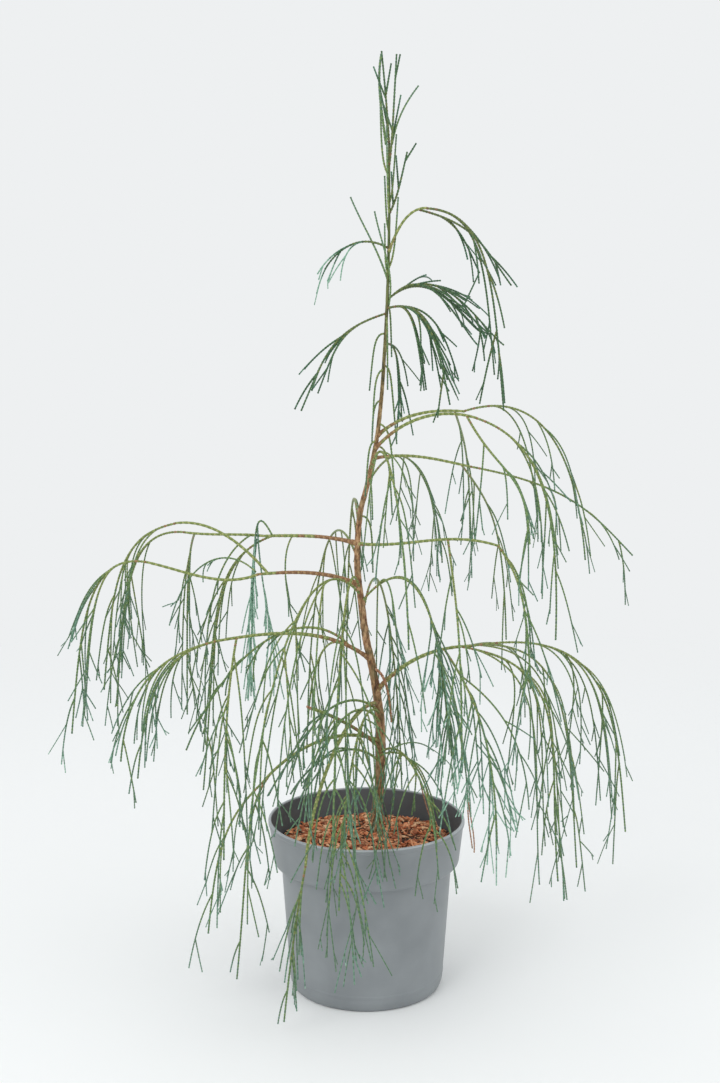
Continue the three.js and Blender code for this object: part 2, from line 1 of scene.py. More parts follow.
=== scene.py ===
import bpy
import numpy as np
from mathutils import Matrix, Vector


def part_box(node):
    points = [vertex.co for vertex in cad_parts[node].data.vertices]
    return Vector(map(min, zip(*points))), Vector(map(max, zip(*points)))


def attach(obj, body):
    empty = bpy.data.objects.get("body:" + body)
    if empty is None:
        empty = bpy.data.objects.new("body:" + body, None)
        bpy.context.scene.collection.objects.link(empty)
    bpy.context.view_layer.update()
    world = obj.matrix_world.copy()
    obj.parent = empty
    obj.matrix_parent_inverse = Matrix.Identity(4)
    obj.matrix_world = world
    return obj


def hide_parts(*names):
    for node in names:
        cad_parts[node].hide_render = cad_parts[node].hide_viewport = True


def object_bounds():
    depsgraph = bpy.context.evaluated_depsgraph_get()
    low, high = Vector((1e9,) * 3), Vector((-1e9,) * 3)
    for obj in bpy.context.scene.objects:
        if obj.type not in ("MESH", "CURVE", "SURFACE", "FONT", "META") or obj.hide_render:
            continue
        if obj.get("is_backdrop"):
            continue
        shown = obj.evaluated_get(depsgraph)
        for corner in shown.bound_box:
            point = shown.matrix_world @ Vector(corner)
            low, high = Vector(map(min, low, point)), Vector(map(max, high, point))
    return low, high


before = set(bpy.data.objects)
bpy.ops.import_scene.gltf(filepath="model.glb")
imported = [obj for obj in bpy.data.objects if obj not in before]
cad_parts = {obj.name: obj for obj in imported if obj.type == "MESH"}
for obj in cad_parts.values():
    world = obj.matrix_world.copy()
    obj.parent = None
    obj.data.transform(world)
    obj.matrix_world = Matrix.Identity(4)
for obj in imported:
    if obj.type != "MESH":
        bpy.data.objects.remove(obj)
solid_low, solid_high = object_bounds()


# Nursery pot: one thin wall of injection-moulded polypropylene with a deep rim band, a beaded lip
# and a rounded foot. The outside is satin mid grey; the inside is a darker grey of painted shade, and the
# lip a paler grey of painted highlight.
MM = 0.001
POT_SIDES = 160
POT_CORNERS = [  # radius, height and rounding of each corner of the profile, in millimetres
    (76.0, 0.0, 0.0), (80.5, 0.4, 2.0), (83.8, 8.0, 4.5), (84.3, 15.0, 0.4), (84.7, 15.6, 0.4),
    (84.9, 18.4, 0.4), (84.6, 19.0, 0.4), (92.6, 137.0, 1.5), (93.4, 139.6, 1.2), (100.2, 141.6, 1.6),
    (101.2, 144.0, 1.6), (105.6, 182.6, 0.8), (106.8, 184.0, 0.8), (107.0, 187.6, 1.2), (106.0, 189.0, 0.9),
    (104.0, 189.0, 0.8), (103.3, 186.6, 0.8), (98.8, 146.0, 1.0), (90.9, 142.0, 1.0), (81.3, 8.0, 3.0),
    (77.0, 3.0, 0.0),
]
ROUNDING_STEPS = 5
LONGEST_ROUNDING = 0.45
LIP_BOTTOM = 187.4 * MM
POT_FINISHES = [  # name, grey, handled grey and roughness of the outside, the inside and the lip
    ("satin_polypropylene", "#7f8487", "#8a8f92", 0.42),
    # the inside's darker greys are painted shade inside the pot
    ("shade_painted_inner_polypropylene", "#5d6164", "#505356", 0.55),
    # the lip's paler greys are a painted highlight along the top of the rolled rim
    ("highlight_painted_polypropylene_lip", "#9aa0a4", "#b0b5b8", 0.36),
]
OUTSIDE, INSIDE, LIP = range(3)
CLOUD_WIDTH, GRAIN_WIDTH, GRAIN_DEPTH = 0.045, 0.0005, 0.00006
SMOOTHER, ROUGHER = 0.05, 0.07


def linear(colour):
    """Linear red, green, blue and alpha of an sRGB hex colour: the low part is divided by 12.92, and the
    rest is (value + 0.055) / 1.055 to the power 2.4."""
    channels = [int(colour[i : i + 2], 16) / 255 for i in (1, 3, 5)]
    return (*[c / 12.92 if c <= 0.04045 else ((c + 0.055) / 1.055) ** 2.4 for c in channels], 1.0)


def add_node(tree, kind, inputs=None, stops=None, **settings):
    """Adds a shader node of a kind to a tree with its settings. An input takes a value, or a link from a
    socket or from a node's first output, and stops are the places and values of a colour ramp."""
    node = tree.nodes.new("ShaderNode" + kind)
    for name, value in settings.items():
        setattr(node, name, value)
    for name, value in (inputs or {}).items():
        if isinstance(value, bpy.types.Node):
            value = value.outputs[0]
        if isinstance(value, bpy.types.NodeSocket):
            tree.links.new(value, node.inputs[name])
        else:
            node.inputs[name].default_value = value
    if stops:
        elements = node.color_ramp.elements
        while len(elements) < len(stops):
            elements.new(0.5)
        for element, (place, value) in zip(elements, stops):
            element.position = place
            element.color = linear(value) if isinstance(value, str) else (value, value, value, 1)
    return node


def new_finish(name):
    """A material with an empty node tree: returns both."""
    material = bpy.data.materials.new(name)
    material.use_nodes = True
    material.node_tree.nodes.clear()
    return material, material.node_tree


def moulded_plastic(name, grey, worn_grey, roughness):
    """Satin polypropylene: the mould's fine texture is a bump of 0.5 mm grain, and handling leaves soft
    clouds of a paler grey about 45 mm wide that are a little rougher."""
    material, tree = new_finish(name)
    place = add_node(tree, "TexCoord").outputs["Object"]
    clouds = add_node(tree, "TexNoise", {"Vector": place, "Scale": 1 / CLOUD_WIDTH, "Detail": 4})
    grain = add_node(tree, "TexNoise", {"Vector": place, "Scale": 1 / GRAIN_WIDTH, "Detail": 2})
    colour = add_node(tree, "ValToRGB", {"Fac": clouds}, [(0.35, grey), (0.7, worn_grey)])
    spread = {"Value": clouds, "To Min": roughness - SMOOTHER, "To Max": roughness + ROUGHER}
    rough = add_node(tree, "MapRange", spread)
    bump = add_node(tree, "Bump", {"Height": grain, "Strength": 0.25, "Distance": GRAIN_DEPTH})
    surface = {"Base Color": colour, "Roughness": rough, "Normal": bump, "IOR": 1.49}
    add_node(tree, "OutputMaterial", {"Surface": add_node(tree, "BsdfPrincipled", surface)})
    return material


def rounded_profile(corners):
    """Profile through corners with each one rounded: between two points at the rounding's distance along
    both legs, the curve is the quadratic (1-t)^2 a + 2t(1-t) corner + t^2 b."""
    corners = np.array(corners)
    t = np.linspace(0, 1, ROUNDING_STEPS)[:, None]
    points = []
    for i, (place, rounding) in enumerate(zip(corners[:, :2], corners[:, 2])):
        if rounding == 0:
            points.append(place[None])
            continue
        legs = [corners[j, :2] - place for j in (i - 1, i + 1)]
        a, b = [place + leg * min(rounding / np.linalg.norm(leg), LONGEST_ROUNDING) for leg in legs]
        points.append((1 - t) ** 2 * a + 2 * t * (1 - t) * place + t**2 * b)
    return np.concatenate(points)


def turned_rings(radii, heights, sides):
    """Rings about +Z: corner k of ring i is at radius i, height i and k equal parts of a turn. Radii and
    heights have one value a ring, or one a corner."""
    angle = 2 * np.pi * np.arange(sides) / sides
    radii, heights = [
        np.broadcast_to(np.asarray(v).reshape(len(v), -1), (len(v), sides)) for v in (radii, heights)
    ]
    return np.stack([radii * np.cos(angle), radii * np.sin(angle), heights], axis=-1)[None]


def ring_piece(name, batches, looks, nodes, smooth=True, traits=None):
    """A piece of closed tubes. A batch is an array of tubes, rings, corners and xyz, with the look of each
    band between two rings. The corners of neighbouring rings join in quads, and each end ring closes
    as one face, so every tube is closed and faces outwards. Traits are named numbers, one a corner,
    that the piece's material reads."""
    vertices, corners, widths, shades = [], [], [], []
    first = 0
    for rings, bands in batches:
        tubes, count, sides, _ = rings.shape
        number = first + np.arange(tubes * count * sides).reshape(tubes, count, sides)
        onward = np.roll(number, -1, axis=2)
        quads = np.stack([number[:, :-1], onward[:, :-1], onward[:, 1:], number[:, 1:]], axis=-1)
        bands = np.broadcast_to(bands, (tubes, count - 1))
        for faces, shade in (
            (quads.reshape(-1, 4), np.repeat(bands, sides, axis=1).ravel()),
            (number[:, 0, ::-1], bands[:, 0]),
            (number[:, -1], bands[:, -1]),
        ):
            corners.append(faces.ravel())
            widths.append(np.full(len(faces), faces.shape[1]))
            shades.append(shade)
        vertices.append(rings.reshape(-1, 3))
        first += tubes * count * sides
    vertices, corners, widths, shades = [np.concatenate(v) for v in (vertices, corners, widths, shades)]
    mesh = bpy.data.meshes.new(name)
    mesh.vertices.add(len(vertices))
    mesh.vertices.foreach_set("co", vertices.astype(np.float32).ravel())
    mesh.loops.add(len(corners))
    mesh.loops.foreach_set("vertex_index", corners.astype(np.int32))
    mesh.polygons.add(len(widths))
    mesh.polygons.foreach_set("loop_start", (np.cumsum(widths) - widths).astype(np.int32))
    mesh.polygons.foreach_set("material_index", shades.astype(np.int32))
    mesh.polygons.foreach_set("use_smooth", np.full(len(widths), smooth))
    for look in looks:
        mesh.materials.append(look)
    for trait, values in (traits or {}).items():
        numbers = np.concatenate([np.ravel(value) for value in values]).astype(np.float32)
        mesh.attributes.new(trait, "FLOAT", "POINT").data.foreach_set("value", numbers)
    mesh.update(calc_edges=True)
    mesh.validate()
    piece = bpy.data.objects.new(name, mesh)
    bpy.context.scene.collection.objects.link(piece)
    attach(piece, "root")
    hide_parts(*nodes)


pot_profile = MM * rounded_profile(POT_CORNERS)
lip = np.flatnonzero(pot_profile[:, 1] > LIP_BOTTOM)
pot_bands = np.where(np.arange(len(pot_profile) - 1) > lip[-1], INSIDE, OUTSIDE)
pot_bands[lip[0] : lip[-1]] = LIP
ring_piece(
    "moulded_pot", [(turned_rings(*pot_profile.T, POT_SIDES), pot_bands)],
    [moulded_plastic(*finish) for finish in POT_FINISHES], ["pot"],
)


# Compost: dark peat that fills the pot up to a low mound under the bark. Only its top shows, in the
# gaps between the chips, so the top has small lumps.
COMPOST_SIDES = 120
COMPOST_SIDE = MM * np.array([(0.5, 3.4), (75.5, 3.4), (80.5, 9.0), (89.8, 142.2), (97.6, 146.8)])
COMPOST_EDGE = (98.9 * MM, 158.6 * MM)
COMPOST_TOP = 163.4 * MM
COMPOST_RINGS = 44
LEVEL_SHARE = 0.45
LUMP_WIDTH, LUMP_HEIGHT, LUMPS_AROUND = 4 * MM, 1.2 * MM, 60
PEAT_STOPS = [(0.4, "#2e1d14"), (0.75, "#5a3a28")]


def soft_noise(u, v, columns, seed):
    """Smooth random field from -1 to 1 over u, which closes round from 0 to 1, and v upwards from 0: seeded
    values at whole places are mixed across each cell by the eased step 3t^2 - 2t^3."""
    rows = int(np.max(v)) + 2
    values = np.random.default_rng(seed).uniform(-1, 1, (rows, columns))
    across = (u % 1) * columns
    column, row = np.floor(across).astype(int), np.floor(v).astype(int)
    s, t = across - column, v - row
    s, t = s * s * (3 - 2 * s), t * t * (3 - 2 * t)
    low = values[row, column % columns] * (1 - s) + values[row, (column + 1) % columns] * s
    high = values[row + 1, column % columns] * (1 - s) + values[row + 1, (column + 1) % columns] * s
    return low * (1 - t) + high * t


def mound_height(radius):
    """Height of the bark's bed: level in the middle, and falling to the wall by the eased step."""
    t = np.clip((radius / COMPOST_EDGE[0] - LEVEL_SHARE) / (1 - LEVEL_SHARE), 0, 1)
    return COMPOST_TOP + (COMPOST_EDGE[1] - COMPOST_TOP) * t * t * (3 - 2 * t)


def broken_matter(name, width, detail, stops, depth, roughness):
    """Broken plant matter, quite matt: crumbs or fibres of a width mix its colours and raise it."""
    material, tree = new_finish(name)
    place = add_node(tree, "TexCoord").outputs["Object"]
    crumbs = add_node(tree, "TexNoise", {"Vector": place, "Scale": 1 / width, "Detail": detail})
    colour = add_node(tree, "ValToRGB", {"Fac": crumbs}, stops)
    bump = add_node(tree, "Bump", {"Height": crumbs, "Distance": depth})
    surface = {"Base Color": colour, "Roughness": roughness, "Normal": bump}
    add_node(tree, "OutputMaterial", {"Surface": add_node(tree, "BsdfPrincipled", surface)})
    return material


top_radii = np.linspace(COMPOST_EDGE[0], 0.5 * MM, COMPOST_RINGS)
turn_share = np.arange(COMPOST_SIDES) / COMPOST_SIDES
lumps = soft_noise(turn_share[None, :], (top_radii / LUMP_WIDTH)[:, None], LUMPS_AROUND, seed=3)
fade = np.clip(1.2 - top_radii / COMPOST_EDGE[0], 0, 1)[:, None]
compost_heights = np.concatenate([
    np.repeat(COMPOST_SIDE[:, 1:], COMPOST_SIDES, 1),
    mound_height(top_radii)[:, None] + LUMP_HEIGHT * lumps * fade,
])
compost_rings = turned_rings(np.append(COMPOST_SIDE[:, 0], top_radii), compost_heights, COMPOST_SIDES)
ring_piece(
    "compost_bed", [(compost_rings, 0)],
    [broken_matter("crumbly_peat", 0.002, 5, PEAT_STOPS, 0.0008, 0.95)],  # damp crumbs about 2 mm across
    ["bark_compost"],
)


# Bark mulch: chipped pine bark, thin red-brown shards from 4 to 15 mm long that lie at all angles on the
# compost. Freshly broken faces are paler and orange, older ones dull brown.
CHIP_COUNT = 2300
CHIP_REACH = 97.5 * MM
CHIP_LENGTHS = (4 * MM, 15 * MM)
CHIP_WIDTHS, CHIP_DEPTHS = (0.18, 0.5), (0.08, 0.22)  # shares of the length
CHIP_THICKEST = 1.8 * MM
CHIP_SIDES = 6
CHIP_OUTLINES = (0.65, 1.15)
CHIP_DRAWN_IN, CHIP_LEVELS = np.array([(0.8, 1.0, 0.72), (-0.5, 0.1, 0.5)])[:, None, :, None]
CHIP_CHIPPED = 0.06
CHIP_TILTS = (0.35, 0.28)
CHIP_PILE = 2.6
CHIP_TRUNK_GAP = 5 * MM
CHIP_COLOURS = ["#db8659", "#eda678", "#bd6c45", "#f2c59a", "#a25c3e", "#c68c68"]
CHIP_CREVICE = "#7c4b32"
TRUNK_PLACE = (12 * MM, 20 * MM)


def bark_shards(count, seed):
    """Shards as three rings of six corners: an outline of length a along x and width b along y with
    pointed ends, drawn in at the bottom and top ring, then turned about its own x, y and z by seeded
    angles and set down on the mound. Gives the shards and the look of each."""
    draws = np.random.default_rng(seed)
    reach = CHIP_REACH * np.sqrt(draws.uniform(0, 1, count))
    bearing = draws.uniform(0, 2 * np.pi, count)
    size = CHIP_LENGTHS[0] + (CHIP_LENGTHS[1] - CHIP_LENGTHS[0]) * draws.uniform(0, 1, count) ** 2
    width = size * draws.uniform(*CHIP_WIDTHS, count)
    thick = np.minimum(size * draws.uniform(*CHIP_DEPTHS, count), CHIP_THICKEST)
    angle = 2 * np.pi * np.arange(CHIP_SIDES) / CHIP_SIDES
    uneven = draws.uniform(*CHIP_OUTLINES, (count, 1, CHIP_SIDES))
    shape = np.stack([
        size[:, None, None] / 2 * np.cos(angle) * CHIP_DRAWN_IN * uneven,
        width[:, None, None] / 2 * np.sin(angle) * CHIP_DRAWN_IN * uneven,
        np.broadcast_to(thick[:, None, None] * CHIP_LEVELS, (count, 3, CHIP_SIDES)),
    ], axis=-1)
    chipped = draws.uniform(-CHIP_CHIPPED, CHIP_CHIPPED, shape.shape)
    shape += chipped * size[:, None, None, None] * np.array([1, 1, 0.5])
    tilts = [draws.normal(0, tilt, count) for tilt in CHIP_TILTS]
    for axis, angles in enumerate([*tilts, draws.uniform(0, 2 * np.pi, count)]):
        a, b = [k for k in range(3) if k != axis]
        cosine, sine = np.cos(angles)[:, None, None], np.sin(angles)[:, None, None]
        first, second = shape[..., a].copy(), shape[..., b].copy()
        shape[..., a] = cosine * first - sine * second
        shape[..., b] = sine * first + cosine * second
    inset = np.minimum(reach, CHIP_REACH - size / 2)
    spots = np.stack([inset * np.cos(bearing), inset * np.sin(bearing)], axis=-1)
    clear = np.hypot(spots[:, 0] - TRUNK_PLACE[0], spots[:, 1] - TRUNK_PLACE[1]) > CHIP_TRUNK_GAP
    height = mound_height(inset) + draws.uniform(0.0, CHIP_PILE, count) * MM
    shape += np.concatenate([spots, height[:, None]], axis=-1)[:, None, None, :]
    return shape[clear], draws.integers(0, len(CHIP_COLOURS), count)[clear]


shards, shard_looks = bark_shards(CHIP_COUNT, seed=11)
ring_piece(
    "bark_mulch", [(shards, shard_looks[:, None])],
    [  # dry fibres make streaks about 1 mm wide in broken pine bark
        broken_matter(f"split_pine_bark_{n}", 0.0012, 6, [(0.28, CHIP_CREVICE), (0.46, colour)], 0.0006, 0.85)
        for n, colour in enumerate(CHIP_COLOURS)
    ],
    ["bark_compost"], smooth=False,
)


# Trunk: a slim young stem that leans in an S, with a small root flare at the bark. Its thin bark is
# scaly and furrowed at the foot, and turns to smooth olive scales towards the leader.
TRUNK_FOOT = 165.3
TRUNK_STATIONS = MM * np.array([  # height, x, y, radius
    [TRUNK_FOOT, 12, 20, 9.0], [176, 12, 20, 6.8], [196, 12, 20, 5.9], [231, 15, 20, 5.4],
    [290, 15, 20, 5.0], [343, 8, 20, 4.5], [387, -1, 20, 4.1], [420, -5, 20, 3.8],
    [465, -10, 20, 3.4], [519, -7, 20, 3.0], [557, 2, 19, 2.7], [610, 12, 18, 2.3],
    [695, 19, 18, 1.9], [804, 23, 18, 1.5], [910, 23, 18, 1.1],
])
TRUNK_SIDES = 40
TRUNK_PITCH = 1.1 * MM
TRUNK_SUNK = 2.5 * MM
TRUNK_KNOBS = [  # height, bearing in degrees, rise and width of old leaf and twig scars, in millimetres
    (402, 250, 1.5, 3.2), (372, 300, 1.1, 2.6), (331, 250, 1.0, 3.0), (300, 320, 1.2, 2.8),
    (262, 200, 0.9, 2.4), (236, 290, 1.1, 3.0), (214, 240, 1.0, 2.6), (452, 310, 1.0, 2.6),
    (498, 230, 0.9, 2.4), (545, 290, 0.8, 2.2), (188, 330, 1.3, 3.4), (180, 215, 1.4, 3.6),
]
PLATE_HEIGHT, FURROW_HEIGHT, FLAKE_HEIGHT = 9 * MM, 6 * MM, 2.6 * MM
FURROW_SHARE, RIPPLE = 0.8, 0.06
FLARE_LOBES, FLARE_DEPTH, FLARE_HEIGHT, FLARE_SWAY = 5, 0.16, 9 * MM, 0.3
FLAKE_WIDTH, FLAKE_SQUASH, LICHEN_WIDTH = 0.003, 0.34, 0.018
BARK_STOPS = [(0.36, "#45301e"), (0.48, "#896241"), (0.62, "#be9973")]
LICHEN_STOPS = [(0.46, 0.0), (0.7, 0.6)]
LICHEN_GREY = "#6f6c49"
YOUNG_STOPS = [(0.35, "#3e4a2c"), (0.6, "#66753f")]
YOUNG_FROM, YOUNG_TO = 0.56, 0.78


def trunk_at(height):
    """Centre and radius of the trunk at heights: a cubic through its stations whose slope at each one is
    that between its two neighbours."""
    stations, last = TRUNK_STATIONS, len(TRUNK_STATIONS) - 1
    height = np.asarray(height, float)
    i = np.clip(np.searchsorted(stations[:, 0], height) - 1, 0, last - 1)
    below, above = np.maximum(np.arange(last + 1) - 1, 0), np.minimum(np.arange(last + 1) + 1, last)
    slopes = (stations[above] - stations[below]) / (stations[above, :1] - stations[below, :1])
    span = (stations[i + 1, 0] - stations[i, 0])[..., None]
    t = np.clip((height - stations[i, 0])[..., None] / span, 0, 1)
    a, rise = stations[i, 1:], stations[i + 1, 1:] - stations[i, 1:]
    m0, m1 = slopes[i, 1:] * span, slopes[i + 1, 1:] * span
    values = a + t * m0 + t**2 * (3 * rise - 2 * m0 - m1) + t**3 * (m0 + m1 - 2 * rise)
    return np.concatenate([values[..., :2], height[..., None]], axis=-1), values[..., 2]


def unit(vectors):
    """Each vector divided by its own length."""
    return vectors / np.maximum(np.linalg.norm(vectors, axis=-1, keepdims=True), 1e-12)


def carried_rings(paths, across, radii, sides):
    """Rings of a round section carried along paths. Across is squared to each path's direction, up is the
    direction crossed with it, and corner k is the path's point plus its radius times
    (across cos(angle k) + up sin(angle k))."""
    along = unit(np.gradient(paths, axis=1))
    across = np.broadcast_to(across[:, None, :], paths.shape)
    across = unit(across - np.sum(across * along, axis=-1, keepdims=True) * along)
    up = np.cross(along, across)
    angle = 2 * np.pi * np.arange(sides) / sides
    spokes = across[:, :, None] * np.cos(angle)[:, None] + up[:, :, None] * np.sin(angle)[:, None]
    return paths[:, :, None] + radii[..., None] * spokes


def flaking_bark(name):
    """Thin conifer bark: flakes 3 mm wide and three times as tall, dark in the furrows and pale on the
    lips, under patches of grey lichen. From one height to another it turns to the olive of young shoots."""
    material, tree = new_finish(name)
    place = add_node(tree, "TexCoord").outputs["Object"]
    stretched = add_node(tree, "Mapping", {"Vector": place, "Scale": (1, 1, FLAKE_SQUASH)})
    flaking = {"Vector": stretched, "Scale": 1 / FLAKE_WIDTH, "Detail": 6, "Roughness": 0.65}
    flakes = add_node(tree, "TexNoise", flaking)
    patches = add_node(tree, "TexNoise", {"Vector": place, "Scale": 1 / LICHEN_WIDTH, "Detail": 3})
    bark = add_node(tree, "ValToRGB", {"Fac": flakes}, BARK_STOPS)
    lichen = add_node(tree, "ValToRGB", {"Fac": patches}, LICHEN_STOPS)
    greying = {0: lichen, 6: bark, 7: linear(LICHEN_GREY)}
    greyed = add_node(tree, "Mix", greying, data_type="RGBA").outputs[2]
    height = add_node(tree, "SeparateXYZ", {"Vector": place}).outputs["Z"]
    youth = add_node(tree, "MapRange", {"Value": height, "From Min": YOUNG_FROM, "From Max": YOUNG_TO})
    green = add_node(tree, "ValToRGB", {"Fac": flakes}, YOUNG_STOPS)
    colour = add_node(tree, "Mix", {0: youth, 6: greyed, 7: green}, data_type="RGBA").outputs[2]
    bump = add_node(tree, "Bump", {"Height": flakes, "Strength": 0.9, "Distance": 0.0007})
    surface = {"Base Color": colour, "Roughness": 0.8, "Normal": bump}
    add_node(tree, "OutputMaterial", {"Surface": add_node(tree, "BsdfPrincipled", surface)})
    return material


trunk_heights = np.arange(TRUNK_FOOT * MM - TRUNK_SUNK, TRUNK_STATIONS[-1, 0], TRUNK_PITCH)
trunk_points, trunk_radii = trunk_at(np.maximum(trunk_heights, TRUNK_FOOT * MM))
trunk_points[:, 2] = trunk_heights
around = np.arange(TRUNK_SIDES)[None, :] / TRUNK_SIDES
upwards = (trunk_heights - trunk_heights[0])[:, None]
furrows = np.abs(soft_noise(around, upwards / FURROW_HEIGHT, 14, seed=22))
plates = soft_noise(around, upwards / PLATE_HEIGHT, 9, seed=21) - FURROW_SHARE * furrows
flakes = soft_noise(around, upwards / FLAKE_HEIGHT, 24, seed=23)
sway = FLARE_SWAY * soft_noise(around, 0 * upwards, 5, seed=24)
lobes = np.exp(-upwards / FLARE_HEIGHT) * FLARE_DEPTH * np.cos(2 * np.pi * (FLARE_LOBES * around + sway))
trunk_relief = trunk_radii[:, None] * (1 + (RIPPLE * plates + RIPPLE * flakes) + lobes)
for height, bearing, rise, width in TRUNK_KNOBS:
    sideways = (around - bearing / 360 + 0.5) % 1 - 0.5
    spread = (sideways * 2 * np.pi * trunk_radii[:, None]) ** 2 + (trunk_heights[:, None] - height * MM) ** 2
    trunk_relief = trunk_relief + rise * MM * np.exp(-spread / (2 * (width * MM / 2) ** 2))
trunk_rings = carried_rings(trunk_points[None], np.array([[1.0, 0, 0]]), trunk_relief[None], TRUNK_SIDES)
ring_piece(
    "trunk_bark_relief", [(trunk_rings, 0)], [flaking_bark("flaking_trunk_bark")], ["trunk"],
)


# Boughs: arching side limbs of two and three years. Each leaves the trunk in a swollen collar, and keeps
# the bases of its old scale leaves as sharp rings, red-brown near the trunk and olive further out.
BOUGH_SIDES = 16
BOUGH_PITCH = 0.8 * MM
BOUGH_SCALE = 3.4 * MM
BOUGH_STEPS = 5
BOUGH_HANDLES = 0.36
BOUGH_END_RADIUS = 1.25 * MM
BOUGH_END_LENGTH = 14 * MM
COLLAR_SWELL = 0.55
COLLAR_LENGTH = 5 * MM
GREENING = 55 * MM
MOTTLE_LENGTH, MOTTLE_SHARE = 7 * MM, 0.55
ROUGH_LENGTH, ROUGH_SHARE = 3 * MM, 0.06
GROOVE_LEVEL, RIDGE_SHARE, YOUNG_RIDGE_SHARE = 0.97, 0.11, 0.13
JOINT_SHARES = (np.arange(25) / 24) ** 1.35  # places of the trunk's rings, closer at its foot
TRUNK_JOINTS = TRUNK_FOOT * MM + (TRUNK_STATIONS[-1, 0] - TRUNK_FOOT * MM) * JOINT_SHARES
BOUGHS = [  # name, height on the trunk or a limb and the distance back from its tip, tip, angles at both
    # ends in degrees, radii, and length that is brown from the trunk on, in mm
    ("right_top_bough", 796, (62, 5, 841), (70, -3), (1.4, 1.2), 0),
    ("right_upper_bough", 604, (105, 40, 628), (42, -6), (1.8, 1.35), 12),
    ("right_arch_bough", 590, (113, -34, 628), (48, -14), (1.8, 1.35), 16),
    ("right_middle_bough", 580, (113, 60, 566), (8, -14), (1.6, 1.3), 10),
    ("right_lower_bough", 488, (137, -50, 497), (-2, -14), (1.6, 1.3), 4),
    ("right_low_bough", 325, (112, -5, 381), (52, 3), (2.4, 1.5), 20),
    ("left_upper_bough", 488, (-113, 40, 493), (14, -2), (2.3, 1.5), 62),
    ("left_middle_bough", 443, (-116, -10, 460), (26, -2), (2.5, 1.6), 105),
    ("left_low_bough", 360, (-157, -60, 399), (40, -4), (2.3, 1.4), 62),
    ("front_left_bough", 312, (-62, -140, 185), (15, -80), (2.2, 1.5), 30),
    ("left_foot_bough", 268, (-109, -70, 250), (30, -40), (2.0, 1.4), 20),
    ("left_upper_arm", ("left_upper_bough", 1.5), (-200, 70, 492), (2, 4), (1.45, 1.3), 62),
    ("left_middle_arm", ("left_middle_bough", 1.5), (-231, -30, 477), (-20, 14), (1.5, 1.3), 105),
    ("left_arch_bough", ("left_middle_bough", 12), (-205, 20, 510), (48, -10), (1.5, 1.3), 115),
]
FLECK_WIDTH, WOOD_ROUGHNESS = 0.002, 0.7
WOOD_STOPS = [(0.3, "#755338"), (0.6, "#8f6a48"), (1.0, "#a3825a")]
OLIVE_STOPS = [(0.35, "#6a7a40"), (0.65, "#889655"), (1.0, "#a4a56a")]


def leaving(start, target, elevation):
    """Unit vector towards a target in plan, lifted by an elevation in degrees."""
    flat = unit(np.array([target[0] - start[0], target[1] - start[1], 0.0]))
    return flat * np.cos(np.radians(elevation)) + np.array([0, 0, np.sin(np.radians(elevation))])


def bezier(controls, t):
    """Cubic through four control points: (1-t)^3 a + 3t(1-t)^2 b + 3t^2(1-t) c + t^3 d."""
    a, b, c, d = controls
    t = np.asarray(t, float)[..., None]
    return (1 - t) ** 3 * a + 3 * t * (1 - t) ** 2 * b + 3 * t**2 * (1 - t) * c + t**3 * d


def steps_of(points):
    """Length of each step from a line's point to the next."""
    return np.linalg.norm(np.diff(points, axis=0), axis=1)


def foot_of(foot, limbs):
    """On the trunk's centre line at a height, or on a limb's line at a distance back from its tip."""
    if not isinstance(foot, tuple):
        return trunk_at(foot * MM)[0]
    points = limbs[foot[0]]["points"]
    along = np.append(0, np.cumsum(steps_of(points)))
    place = max(along[-1] - foot[1] * MM, 0)
    return np.array([np.interp(place, along, points[:, k]) for k in range(3)])


def scaly_bough(name):
    """Bough bark by two traits of its surface: young goes from 0 on brown wood to 1 on olive growth, and
    ridge from 0 in the groove behind an old scale leaf to 1 on its tip. Flecks 2 mm wide break both."""
    material, tree = new_finish(name)
    place = add_node(tree, "TexCoord").outputs["Object"]
    flecks = add_node(tree, "TexNoise", {"Vector": place, "Scale": 1 / FLECK_WIDTH, "Detail": 4})
    flecked = []
    for trait, weight in (("ridge", 0.7), ("young", 0.9)):
        value = add_node(tree, "Attribute", attribute_name=trait).outputs["Fac"]
        flecked.append(add_node(tree, "Math", {0: flecks, 1: weight, 2: value}, operation="MULTIPLY_ADD"))
    height, share = flecked
    youth = add_node(tree, "MapRange", {"Value": share, "From Min": 0.75, "From Max": 1.15})
    wood, green = [add_node(tree, "ValToRGB", {"Fac": height}, stops) for stops in (WOOD_STOPS, OLIVE_STOPS)]
    colour = add_node(tree, "Mix", {0: youth, 6: wood, 7: green}, data_type="RGBA").outputs[2]
    bump = add_node(tree, "Bump", {"Height": flecks, "Strength": 0.5, "Distance": 0.0004})
    surface = {"Base Color": colour, "Roughness": WOOD_ROUGHNESS, "Normal": bump}
    add_node(tree, "OutputMaterial", {"Surface": add_node(tree, "BsdfPrincipled", surface)})
    return material


